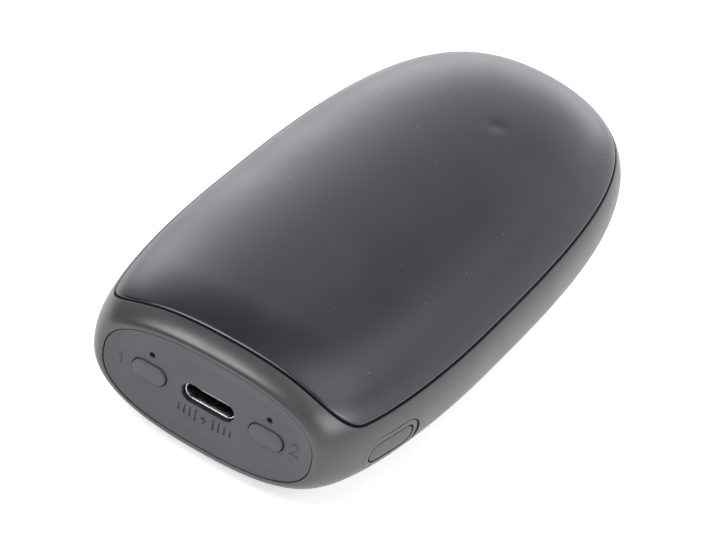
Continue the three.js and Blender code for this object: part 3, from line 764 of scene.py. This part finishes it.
def add_key_recess(form, outer_loop, inner_loop):
    """The side key's shallow recess with a fine groove round it, its hole, and the boss inside.

    The two loops are the edges of the places that the frame's outer and inner skin leave open.
    """
    hole = SIDE_KEY_HALF_HEIGHT + SIDE_KEY_GAP
    loop = outer_loop[:, 1:]
    outer_edge, inner_edge = groove_edges(loop)

    def ring(distance, sunk, more=0.0):
        return recess_ring(loop, distance, sunk, more)

    start, end = outer_edge + SIDE_EDGE, inner_edge - SIDE_EDGE
    way = toward_side_key(loop, start) - loop
    rings = [outer_loop, *(on_flank(loop + way * s, 0.0) for s in OUTSIDE_SHARES)]
    rings += rounded(ring(start, 0), ring(outer_edge, 0), ring(outer_edge, 0, SIDE_EDGE))
    rings += [ring(outer_edge, 1, SIDE_GROOVE), ring(inner_edge, 1, SIDE_GROOVE)]
    rings += rounded(ring(inner_edge, 1, SIDE_EDGE), ring(inner_edge, 1), ring(end, 1))
    run = hole + SIDE_EDGE - inner_edge
    rings += [ring(inner_edge + run * s, 1) for s in FLOOR_SHARES]
    wall = ring(hole, 1)
    rings += rounded(ring(hole + SIDE_EDGE, 1), wall, wall - np.array([SIDE_EDGE, 0, 0]))
    outline = toward_side_key(loop, hole)
    form.rings([*rings, at_x(outline, SIDE_KEY_INSIDE)])

    boss = toward_side_key(inner_loop[:, 1:], RECESS_REACH)
    form.rings([inner_loop, on_flank(boss, FRAME_INSIDE), at_x(boss, SIDE_KEY_INSIDE)])
    form.plate([boss, outline], lambda flat: at_x(flat, SIDE_KEY_INSIDE))


def painted_shade_ring_form():
    """A fine dark ring in the groove round the side key's recess: painted shade along the groove."""
    loop = pill_outline(SIDE_KEY_HALF_LENGTH + SIDE_MARGIN, RECESS_REACH) + SIDE_KEY_MIDDLE
    outer, inner = groove_edges(loop)
    face = [recess_ring(loop, edge, 0, PAINTED_SHADE_RING_DEPTH) for edge in (outer, inner)]
    bottom = PAINTED_SHADE_RING_DEPTH + PAINTED_SHADE_RING_THICKNESS
    back = [recess_ring(loop, edge, 1, bottom) for edge in (inner, outer)]
    return Form([*face, *back, face[0]])


# The end panel and its marks


def numeral_one():
    x, z = ONE_PLACE
    top, foot = z + NUMERAL_HALF_HEIGHT, z - NUMERAL_HALF_HEIGHT
    path = [(x - ONE_FLAG_WIDTH, z + ONE_FLAG_HEIGHT), (x, top), (x, foot)]
    return stroke_outline(path, NUMERAL_STROKE)


def numeral_two():
    x, z = TWO_PLACE
    angle = np.radians(np.linspace(TWO_BOW_FROM, TWO_BOW_TO, BOW_STEPS + 1))
    bow_x = x + TWO_BOW_RADIUS * np.cos(angle)
    bow_z = z + TWO_BOW_HEIGHT + TWO_BOW_RADIUS * np.sin(angle)
    foot = z - NUMERAL_HALF_HEIGHT
    path = [*zip(bow_x, bow_z), (x + TWO_FOOT_FROM, foot), (x + TWO_FOOT_TO, foot)]
    return stroke_outline(path, NUMERAL_STROKE)


def bolt():
    """A plain charging mark, the same when it is turned half round."""
    barb = [(-BOLT_HALF_WIDTH, -BOLT_STEP), (-BOLT_WAIST, -BOLT_STEP)]
    half = np.array([(BOLT_LEAN, BOLT_HALF_HEIGHT), *barb])
    return np.concatenate([half, -half]) + np.array([0.0, MARK_HEIGHT])


def charge_marks():
    """A bolt between two rows of level bars, in the place under the port."""
    marks = [bolt()]
    for side in (-1, 1):
        for k in range(BARS):
            x = side * (BAR_START + BAR_SPACING * k)
            half = BAR_HALF_HEIGHT - BAR_SHORTENING * k
            path = [(x, MARK_HEIGHT - half), (x, MARK_HEIGHT + half)]
            marks.append(stroke_outline(path, BAR_STROKE))
    return marks


def at_y(flat, y):
    return places(flat[:, 0], y, flat[:, 1])


def panel_form():
    """The panel: a sloping rim, a flat face with holes and engraved marks, and its back."""
    form = Form()
    outline = oval_outline()

    def on_slope(share):
        ring = oval_outline(PANEL_RIM_WIDTH * share)
        return at_y(ring, PANEL_FACE - PANEL_RIM_RISE * (1 - share))

    wall = at_y(outline, PANEL_FACE - PANEL_RIM_RISE + PANEL_EDGE)
    edge = rounded(wall, on_slope(0), on_slope(PANEL_EDGE_SHARE))
    slope = [on_slope(share) for share in PANEL_SLOPE_SHARES]
    run = PANEL_RIM_WIDTH + PANEL_FOOT
    foot_end = at_y(oval_outline(run), PANEL_FACE)
    foot = rounded(on_slope(PANEL_FOOT_SHARE), on_slope(1), foot_end)
    flat_edge = oval_outline(run + PANEL_FLAT_MARGIN)
    form.rings([at_y(outline, PANEL_BACK), *edge, *slope, *foot, at_y(flat_edge, PANEL_FACE)])

    holes = []
    openings = [(pill_outline, PORT_HOLE, *PORT_MIDDLE)]
    for side in (-1, 1):
        size = (KEY_HALF_LENGTH + KEY_GAP, KEY_HALF_HEIGHT + KEY_GAP)
        openings.append((pill_outline, size, side * KEY_OFFSET, 0.0))
        openings.append((circle_outline, (PIN_HOLE_RADIUS,), side * KEY_OFFSET, PIN_HEIGHT))
    back_holes = []
    for shape, size, x, z in openings:
        place = np.array([x, z])

        def grown(by):
            return shape(*(s + by for s in size)) + place

        rounding = rounded(
            at_y(grown(HOLE_EDGE), PANEL_FACE),
            at_y(grown(0), PANEL_FACE),
            at_y(grown(0), PANEL_FACE + HOLE_EDGE),
        )
        form.rings([at_y(grown(2 * HOLE_EDGE), PANEL_FACE), *rounding, at_y(grown(0), PANEL_BACK)])
        holes.append(grown(2 * HOLE_EDGE))
        back_holes.append(grown(0))
    marks = []
    engraved = [(numeral_one(), NUMERAL_DEPTH), (numeral_two(), NUMERAL_DEPTH)]
    for mark, depth in [*engraved, *((mark, MARK_DEPTH) for mark in charge_marks())]:
        bottom = PANEL_FACE + depth
        form.rings([at_y(mark, PANEL_FACE), at_y(mark, bottom)])
        form.plate([mark], lambda flat: at_y(flat, bottom))
        marks.append(mark)
    form.plate([flat_edge, *holes, *marks], lambda flat: at_y(flat, PANEL_FACE))
    form.plate([outline, *back_holes], lambda flat: at_y(flat, PANEL_BACK))
    return form


# The keys


def key_form(half_length, half_high, edge, flange_front, place, stem_rise=0.0):
    """A key: its crowned cap, a flange, and the stem to the switch.

    place(outline, depth, on_face) puts an outline at a depth under the key's face.
    """
    form = Form()

    def ring(drawn_in, depth, on_face=True):
        return place(pill_outline(half_length, half_high, drawn_in), depth, on_face)

    run = half_high - edge
    shares = np.linspace(0, 1, KEY_STEPS + 1)
    rings = [ring(half_high - run * share, KEY_CROWN * share**2) for share in shares]
    rings += rounded(ring(edge, KEY_CROWN), ring(0, KEY_CROWN), ring(0, KEY_CROWN + edge))[1:]
    back = flange_front + FLANGE_THICKNESS
    flange = pill_outline(half_length + FLANGE_RIM, half_high + FLANGE_RIM)
    sides = [place(flange, depth, False) for depth in (flange_front, back)]
    form.rings([*rings, ring(0, flange_front, False), *sides])
    stem = box_outline(STEM_HALF_WIDTH, STEM_HALF_HEIGHT) + np.array([0.0, stem_rise])
    form.plate([flange, stem], lambda flat: place(flat, back, False))
    form.rings([place(stem, back, False), place(stem, back + STEM_LENGTH, False)])
    form.plate([stem], lambda flat: place(flat, back + STEM_LENGTH, False))
    return form


def push_button_form(side):
    def place(outline, depth, on_face):
        return at_y(outline + np.array([side * KEY_OFFSET, 0.0]), depth)

    return key_form(KEY_HALF_LENGTH, KEY_HALF_HEIGHT, KEY_EDGE, FLANGE_FRONT, place)


def side_key_form():
    def place(outline, depth, on_face):
        flat = outline + SIDE_KEY_MIDDLE
        if not on_face:
            return at_x(flat, SIDE_KEY_FACE - depth)
        return on_flank(flat, recess_share(flat) * SIDE_DEPTH) - np.array([depth, 0.0, 0.0])

    size = (SIDE_KEY_HALF_LENGTH, SIDE_KEY_HALF_HEIGHT)
    return key_form(*size, SIDE_KEY_EDGE, SIDE_FLANGE_FRONT, place, SIDE_STEM_RISE)


# The charging port


def port_shell_form():
    """The metal shell: a pill-shaped tube with a bright rounded rim."""

    def ring(drawn_in, y):
        return at_y(pill_outline(PORT_HALF_WIDTH, PORT_HALF_HEIGHT, drawn_in) + PORT_MIDDLE, y)

    outside, inside = ring(0, PORT_BACK), ring(PORT_METAL, PORT_BACK)
    rim = ring(PORT_METAL / 2, PORT_RIM)
    outer = rounded(ring(0, PORT_RIM + PORT_EDGE), ring(0, PORT_RIM), rim)
    inner_end = ring(PORT_METAL, PORT_RIM + PORT_INNER_EDGE)
    inner = rounded(rim, ring(PORT_METAL, PORT_RIM), inner_end)[1:]
    return Form([outside, *outer, *inner, inside, outside])


def port_insert_form():
    """The plastic block at the port's back and the tongue that stands out of it."""
    front = PORT_BACK - INSERT_LENGTH
    inside = PORT_METAL + INSERT_GAP
    block = pill_outline(PORT_HALF_WIDTH, PORT_HALF_HEIGHT, inside) + PORT_MIDDLE
    tongue = box_outline(TONGUE_HALF_WIDTH, TONGUE_HALF_HEIGHT) + PORT_MIDDLE
    tip = front - TONGUE_LENGTH
    small = box_outline(TONGUE_HALF_WIDTH, TONGUE_HALF_HEIGHT, TONGUE_EDGE) + PORT_MIDDLE
    form = Form()
    form.plate([block], lambda flat: at_y(flat, PORT_BACK))
    form.rings([at_y(block, PORT_BACK), at_y(block, front)])
    form.plate([block, tongue], lambda flat: at_y(flat, front))
    end = rounded(at_y(tongue, tip + TONGUE_EDGE), at_y(tongue, tip), at_y(small, tip))
    form.rings([at_y(tongue, front), *end])
    form.plate([small], lambda flat: at_y(flat, tip))
    return form


def port_painted_shade_form():
    """A dark liner on the wall of the port's hole in the panel: painted shade in the hole."""
    outer, inner = (
        pill_outline(*(s - thin for s in PORT_HOLE)) + PORT_MIDDLE
        for thin in (PORT_SHADE_OUTSIDE, PORT_SHADE_INSIDE)
    )
    front, back = PANEL_FACE + HOLE_EDGE, PANEL_BACK
    corners = [(outer, front), (inner, front), (inner, back), (outer, back), (outer, front)]
    return Form([at_y(*corner) for corner in corners])


def port_contacts_form():
    """The rows of contacts on the tongue, and the plate round its tip."""
    form = Form()
    tip = PORT_BACK - INSERT_LENGTH - TONGUE_LENGTH
    start, end = tip + CONTACT_FRONT, tip + TONGUE_LENGTH - CONTACT_REAR
    for side in (-1, 1):
        face = PORT_RISE + side * TONGUE_HALF_HEIGHT
        for k in range(CONTACTS):
            x = (k - (CONTACTS - 1) / 2) * CONTACT_PITCH
            left, right = x - CONTACT_HALF_WIDTH, x + CONTACT_HALF_WIDTH
            outline = np.array([(left, start), (right, start), (right, end), (left, end)])
            rises = (-CONTACT_SUNK, CONTACT_PROUD)
            levels = [places(*outline.T, face + side * rise) for rise in rises]
            form.rings(levels)
            for level in levels:
                form.faces.append(tuple(form.add(level)))
    plate = box_outline(TONGUE_HALF_WIDTH - TIP_PLATE_INSET, TIP_PLATE_HALF_HEIGHT) + PORT_MIDDLE
    ends = (tip - TIP_PLATE_PROUD, tip + TIP_PLATE_DEPTH)
    form.rings([at_y(plate, y) for y in ends])
    for y in ends:
        form.plate([plate], lambda flat: at_y(flat, y))
    return form


# Materials

NOISE_LOW = 0.3
NOISE_HIGH = 0.7
SPECK_FADE = 1.6
SPECK_STEP = 0.01
SPECK_COLOUR = (0.22, 0.22, 0.23, 1.0)
WHITE = (1.0, 1.0, 1.0, 1.0)


def feed(tree, socket, value):
    """Links another node's socket to an input, or sets the input to a plain value."""
    if isinstance(value, bpy.types.NodeSocket):
        tree.links.new(value, socket)
    else:
        socket.default_value = value


def add_node(tree, kind, inputs=None, **settings):
    made = tree.nodes.new(kind)
    for key, value in settings.items():
        setattr(made, key, value)
    for key, value in (inputs or {}).items():
        feed(tree, made.inputs[key], value)
    return made


def ramp(tree, value, low, high, bottom=0.0, top=1.0):
    """Takes a value from the range low to high into the range bottom to top."""
    inputs = {"Value": value, "From Min": low, "From Max": high, "To Min": bottom, "To Max": top}
    return add_node(tree, "ShaderNodeMapRange", inputs).outputs["Result"]


def combined(tree, operation, first, second):
    return add_node(tree, "ShaderNodeMath", {0: first, 1: second}, operation=operation).outputs[0]


class Surface:
    """A Principled material whose detail follows the object's own coordinates."""

    def __init__(self, name, colour, roughness, metallic=0.0):
        self.material = bpy.data.materials.new(name)
        self.material.use_nodes = True
        self.tree = self.material.node_tree
        self.shader = self.tree.nodes["Principled BSDF"]
        self.colour = (*colour, 1.0)
        self.roughness = roughness
        self.set(Base_Color=self.colour, Roughness=roughness, Metallic=metallic)
        self.place = self.node("ShaderNodeTexCoord").outputs["Object"]
        self.normal = None

    def node(self, kind, inputs=None, **settings):
        return add_node(self.tree, kind, inputs, **settings)

    def set(self, **values):
        """Sets or feeds the shader's inputs."""
        for key, value in values.items():
            feed(self.tree, self.shader.inputs[key.replace("_", " ")], value)
        return self

    def noise(self, size, detail=2.0, stretch=None):
        """Noise whose features are about size millimetres across."""
        place = self.place
        if stretch:
            place = self.node("ShaderNodeMapping", {"Vector": place, "Scale": stretch}).outputs[0]
        inputs = {"Vector": place, "Scale": 1 / (size * MM), "Detail": detail}
        return self.node("ShaderNodeTexNoise", inputs).outputs["Fac"]

    def mix(self, share, first, second):
        inputs = {"Factor": share, "A": first, "B": second}
        return self.node("ShaderNodeMix", inputs, data_type="RGBA").outputs["Result"]

    def grain(self, size, strength, depth, detail=2.0, stretch=None):
        """Fine bumps about size millimetres across, on top of earlier ones."""
        height = self.noise(size, detail, stretch)
        inputs = {"Height": height, "Strength": strength, "Distance": depth * MM}
        if self.normal is not None:
            inputs["Normal"] = self.normal
        self.normal = self.node("ShaderNodeBump", inputs).outputs["Normal"]
        return self.set(Normal=self.normal)

    def shade(self, amount, size=9.0):
        """Slight broad changes of the colour."""
        darker = tuple(c * (1 - amount) for c in self.colour[:3]) + (1.0,)
        lighter = tuple(min(1, c * (1 + amount)) for c in self.colour[:3]) + (1.0,)
        share = ramp(self.tree, self.noise(size), NOISE_LOW, NOISE_HIGH)
        return self.set(Base_Color=self.mix(share, darker, lighter))

    def polish(self, spread, size=6.0):
        """Roughness that changes by a spread either way over a size."""
        low, high = self.roughness - spread, self.roughness + spread
        noise = self.noise(size, detail=3.0)
        return self.set(Roughness=ramp(self.tree, noise, NOISE_LOW, NOISE_HIGH, low, high))

    def specks(self, spacing, radius_share, picked_share):
        """Specks of pale dust, seen from above, on a share of places about spacing millimetres apart.

        Their radius is a share of the spacing.
        """
        inputs = {"Vector": self.place, "Scale": 1 / (spacing * MM)}
        cells = self.node("ShaderNodeTexVoronoi", inputs, voronoi_dimensions="2D").outputs
        edge = radius_share * SPECK_FADE
        near = ramp(self.tree, cells["Distance"], radius_share, edge, 1.0, 0.0)
        chance = self.node("ShaderNodeSeparateColor", {"Color": cells["Color"]}).outputs[0]
        limit = picked_share + SPECK_STEP
        picked = ramp(self.tree, chance, picked_share, limit, 1.0, 0.0)
        speck = combined(self.tree, "MULTIPLY", near, picked)
        return self.set(Base_Color=self.mix(speck, self.colour, SPECK_COLOUR))


def slot_colour(slot, red=1, green=1, blue=1):
    """A slot's colour with each channel scaled."""
    for row in frame["record"]["materials"]:
        if row["slot"] == slot:
            return tuple(c * k for c, k in zip(row["base_color"], (red, green, blue)))
    raise KeyError(slot)


def shell_metal():
    colour = slot_colour("shell_metal", red=1.17, green=1.15, blue=1.27)
    made = Surface("shell_metal", colour, roughness=0.35, metallic=0.9)
    made.polish(spread=0.03, size=14.0)
    made.specks(spacing=8.0, radius_share=0.012, picked_share=0.3)
    made.grain(size=0.16, strength=0.12, depth=0.01, detail=1.0)
    return made.grain(size=2.5, strength=0.05, depth=0.02).material


def frame_plastic():
    colour = slot_colour("frame_plastic", red=0.85, green=0.84, blue=0.86)
    made = Surface("frame_plastic", colour, roughness=0.355).set(IOR=1.7)
    made.shade(amount=0.04).polish(spread=0.035)
    return made.grain(size=0.22, strength=0.15, depth=0.012).material


def panel_plastic():
    colour = slot_colour("panel_plastic", red=1.1, green=1.08, blue=1.18)
    made = Surface("panel_plastic", colour, roughness=0.52)
    made.shade(amount=0.03).polish(spread=0.04)
    return made.grain(size=0.2, strength=0.2, depth=0.014).material


def key_plastic():
    colour = slot_colour("key_plastic", red=1.1, green=1.08, blue=1.16)
    made = Surface("key_plastic", colour, roughness=0.46)
    made.shade(amount=0.03).polish(spread=0.04)
    return made.grain(size=0.18, strength=0.18, depth=0.012).material


def bright_steel():
    made = Surface("port_steel", slot_colour("port_steel"), roughness=0.23, metallic=1.0)
    made.shade(amount=0.05, size=1.5).polish(spread=0.07, size=0.8)
    return made.grain(size=0.3, strength=0.1, depth=0.01, stretch=(1, 0.15, 1)).material


def black_plastic():
    made = Surface("black_plastic", slot_colour("black_plastic"), roughness=0.475)
    made.shade(amount=0.1, size=1.2).polish(spread=0.075, size=1.0)
    return made.grain(size=0.12, strength=0.2, depth=0.01).material


# Near black and barely glossy: painted shade for the seams' grooves and the side key's groove
def seam_painted_shade():
    made = Surface("seam_painted_shade", (0.006, 0.006, 0.006), roughness=0.7)
    made.set(Specular_IOR_Level=0.1).shade(amount=0.15, size=1.5)
    return made.grain(size=0.2, strength=0.2, depth=0.02).material


def smoked_lens():
    made = Surface("lens", slot_colour("lens"), roughness=0.325).set(Specular_IOR_Level=0.03)
    return made.shade(amount=0.2, size=0.8).polish(spread=0.075, size=0.6).material


def pale_contacts():
    made = Surface("contacts", (0.45, 0.43, 0.44), roughness=0.275, metallic=1.0)
    return made.shade(amount=0.08, size=0.6).polish(spread=0.075, size=0.4).material


def plain_finish(slot, roughness, metallic, grain):
    """The finish of a simple inner piece: slight changes of colour and polish, and a fine grain."""
    made = Surface(slot, slot_colour(slot), roughness, metallic)
    made.shade(amount=0.08, size=2.0).polish(spread=roughness * 0.15, size=1.5)
    return made.grain(size=grain, strength=0.2, depth=0.02).material


# The roughness, metalness and grain in millimetres of the inner pieces
INNER_FINISHES = {
    "board": (0.4, 0.0, 0.5),
    "component": (0.55, 0.0, 0.15),
    "screw_steel": (0.3, 1.0, 0.3),
    "cell_sleeve": (0.3, 0.0, 0.8),
    "nickel": (0.32, 1.0, 0.4),
    "lead_sleeve": (0.5, 0.0, 0.3),
    "heater_film": (0.28, 0.0, 0.6),
    "foam": (0.95, 0.0, 0.25),
    "lamp": (0.2, 0.0, 0.4),
}


def all_materials():
    made = {
        "shell_metal": shell_metal(),
        "frame_plastic": frame_plastic(),
        "panel_plastic": panel_plastic(),
        "key_plastic": key_plastic(),
        "port_steel": bright_steel(),
        "black_plastic": black_plastic(),
        "lens": smoked_lens(),
    }
    for slot, (roughness, metallic, grain) in INNER_FINISHES.items():
        made[slot] = plain_finish(slot, roughness, metallic, grain)
    return made


def dress_nodes(materials):
    """Gives every frame node the finish of its slot."""
    for row in frame["record"]["subparts"]:
        piece = nodes[row["node"]]
        piece.data.materials.clear()
        piece.data.materials.append(materials[row["material_slot"]])


# Stage, lights and camera

CAMERA_TURN = 24.147
CAMERA_RISE = 38.978
CAMERA_ROLL = 12.526
CAMERA_DISTANCE = 529.671
CAMERA_AIM = (0.0, 40.0, 0.0)
FOCAL_PIXELS = 3489.6
PHOTO_WIDTH = 716
PHOTO_HEIGHT = 540
MIDDLE_PIXELS = (351.5, 274.5)
SENSOR = 36.0
CLIP_START = 0.01
CLIP_END = 20.0


def direction(turn, rise):
    """The way to a place turn degrees round from the front and rise degrees up."""
    turn, rise = math.radians(turn), math.radians(rise)
    return Vector((math.sin(turn) * math.cos(rise), -math.cos(turn) * math.cos(rise), math.sin(rise)))


def add_camera():
    data = bpy.data.cameras.new("camera")
    data.sensor_width = SENSOR
    data.sensor_fit = "HORIZONTAL"
    data.lens = FOCAL_PIXELS * SENSOR / PHOTO_WIDTH
    data.shift_x = (PHOTO_WIDTH / 2 - MIDDLE_PIXELS[0]) / PHOTO_WIDTH
    data.shift_y = (MIDDLE_PIXELS[1] - PHOTO_HEIGHT / 2) / PHOTO_WIDTH
    data.clip_start = CLIP_START
    data.clip_end = CLIP_END
    turn, roll = math.radians(CAMERA_TURN), math.radians(CAMERA_ROLL)
    back = direction(CAMERA_TURN, CAMERA_RISE)
    right = Vector((math.cos(turn), math.sin(turn), 0.0))
    up = back.cross(right)
    rolled_right = right * math.cos(roll) + up * math.sin(roll)
    rolled_up = up * math.cos(roll) - right * math.sin(roll)
    place = Vector(in_row(CAMERA_AIM)) + back * CAMERA_DISTANCE * MM
    camera = add_object("camera", data)
    axes = Matrix((rolled_right, rolled_up, back)).transposed().to_4x4()
    camera.matrix_world = Matrix.Translation(place) @ axes
    bpy.context.scene.camera = camera


def light_path_share(tree):
    """1 for camera, glossy and transmission rays."""
    path = add_node(tree, "ShaderNodeLightPath").outputs
    share = path["Is Camera Ray"]
    for name in ("Is Glossy Ray", "Is Transmission Ray"):
        share = combined(tree, "MAXIMUM", share, path[name])
    return share


WORLD_LIGHT = 0.26
CEILING = 0.06
WHITE_UP_TO = 0.5
CEILING_FROM = 0.68
DARK_SIDE = -57.0
DARK_WITHIN = 0.62
DARK_ENDS = 0.18
DARK_SEEN = 0.0
FLOOR_RADIUS = 4.0
FLOOR_STEPS = 96
FLOOR_COLOUR = (0.8, 0.8, 0.8)
FLOOR_ROUGHNESS = 0.9
FLOOR_GLOW = 0.66


def add_world():
    """Even where it lights; in reflections white at the horizon, and darker overhead and at a side."""
    world = bpy.data.worlds.new("studio")
    world.use_nodes = True
    tree = world.node_tree
    tree.nodes.clear()
    sky = add_node(tree, "ShaderNodeTexCoord").outputs["Generated"]
    height = add_node(tree, "ShaderNodeSeparateXYZ", {0: sky}).outputs["Z"]
    overhead = ramp(tree, height, WHITE_UP_TO, CEILING_FROM, 1.0, CEILING)
    inputs = {0: sky, 1: direction(DARK_SIDE, 0.0)}
    toward = add_node(tree, "ShaderNodeVectorMath", inputs, operation="DOT_PRODUCT")
    beside = ramp(tree, toward.outputs["Value"], DARK_ENDS, DARK_WITHIN, 1.0, DARK_SEEN)
    reflected = combined(tree, "MULTIPLY", overhead, beside)
    camera_ray = add_node(tree, "ShaderNodeLightPath").outputs["Is Camera Ray"]
    white = combined(tree, "MAXIMUM", reflected, camera_ray)
    lit = add_node(tree, "ShaderNodeBackground", {"Color": WHITE, "Strength": WORLD_LIGHT})
    seen = add_node(tree, "ShaderNodeBackground", {"Color": WHITE, "Strength": white})
    shaders = {0: light_path_share(tree), 1: lit.outputs[0], 2: seen.outputs[0]}
    mixed = add_node(tree, "ShaderNodeMixShader", shaders)
    add_node(tree, "ShaderNodeOutputWorld", {"Surface": mixed.outputs[0]})
    bpy.context.scene.world = world


def add_floor():
    mesh = bpy.data.meshes.new("floor")
    bm = bmesh.new()
    bmesh.ops.create_circle(bm, cap_ends=True, segments=FLOOR_STEPS, radius=FLOOR_RADIUS)
    bm.to_mesh(mesh)
    bm.free()
    floor = add_object("floor", mesh)
    pale = Surface("pale_floor", FLOOR_COLOUR, FLOOR_ROUGHNESS).set(Specular_IOR_Level=0.0)
    inputs = {"Color": (FLOOR_GLOW, FLOOR_GLOW, FLOOR_GLOW, 1), "Strength": light_path_share(pale.tree)}
    glow = pale.node("ShaderNodeEmission", inputs)
    both = pale.node("ShaderNodeAddShader", {0: pale.shader.outputs[0], 1: glow.outputs[0]})
    feed(pale.tree, pale.tree.nodes["Material Output"].inputs["Surface"], both.outputs[0])
    mesh.materials.append(pale.material)


def add_area(name, turn, rise, distance, size, power):
    """A soft light that faces the part, with its place in degrees and metres and its power in watts."""
    data = bpy.data.lights.new(name, "AREA")
    data.shape = "RECTANGLE"
    data.size, data.size_y = size
    data.energy = power
    light = add_object(name, data)
    way = direction(turn, rise)
    light.location = Vector(in_row(CAMERA_AIM)) + way * distance
    light.rotation_euler = (-way).to_track_quat("-Z", "Y").to_euler()
    light.visible_camera = False


def add_lights():
    add_area("left_box", turn=-45, rise=55, distance=1.0, size=(0.6, 0.6), power=6.7)
    add_area("right_box", turn=88, rise=42, distance=1.0, size=(0.4, 0.4), power=3.1)
    add_area("upper_box", turn=145, rise=62, distance=1.0, size=(0.6, 0.6), power=1.7)
    add_area("rear_box", turn=-154, rise=12, distance=1.2, size=(1.6, 0.5), power=5.7)


# The whole


def build():
    materials = all_materials()
    dress_nodes(materials)

    def dressed(name, form, slot, node, body="casing"):
        make(name, form, materials[slot], body, slot, node)

    top = shell_form(1)
    add_dent(top)
    dressed("metal_shell_top", top, "shell_metal", "top_shell")
    dressed("metal_shell_bottom", shell_form(-1), "shell_metal", "bottom_shell")
    dressed("casing_frame", frame_form(), "frame_plastic", "middle_frame")
    # Dark strips of painted shade in the seams' grooves and round the side key's recess
    painted_shade = seam_painted_shade()
    for name, side in (("top", 1), ("bottom", -1)):
        make("seam_painted_shade_" + name, seam_painted_shade_form(side), painted_shade, "casing", "black_plastic")
    # A ring of painted shade in the side key's groove
    make("side_key_painted_shade_ring", painted_shade_ring_form(), painted_shade, "casing", "black_plastic")
    dressed("port_panel", panel_form(), "panel_plastic", "end_panel")
    for name, side in (("left", -1), ("right", 1)):
        form = push_button_form(side)
        dressed("push_button_" + name, form, "key_plastic", name + "_button", name + "_key")
    dressed("flank_key", side_key_form(), "key_plastic", "side_button", "side_key")
    dressed("charging_port", port_shell_form(), "port_steel", "usb_port_shell")
    dressed("port_tongue", port_insert_form(), "black_plastic", "usb_port_insert")
    make("port_contacts", port_contacts_form(), pale_contacts(), "casing", "nickel")
    # A dark liner of painted shade on the port hole's wall
    make("port_painted_shade", port_painted_shade_form(), materials["black_plastic"], "casing", "black_plastic")


bpy.context.scene.view_settings.view_transform = "Standard"
add_camera()
add_world()
add_floor()
add_lights()
build()
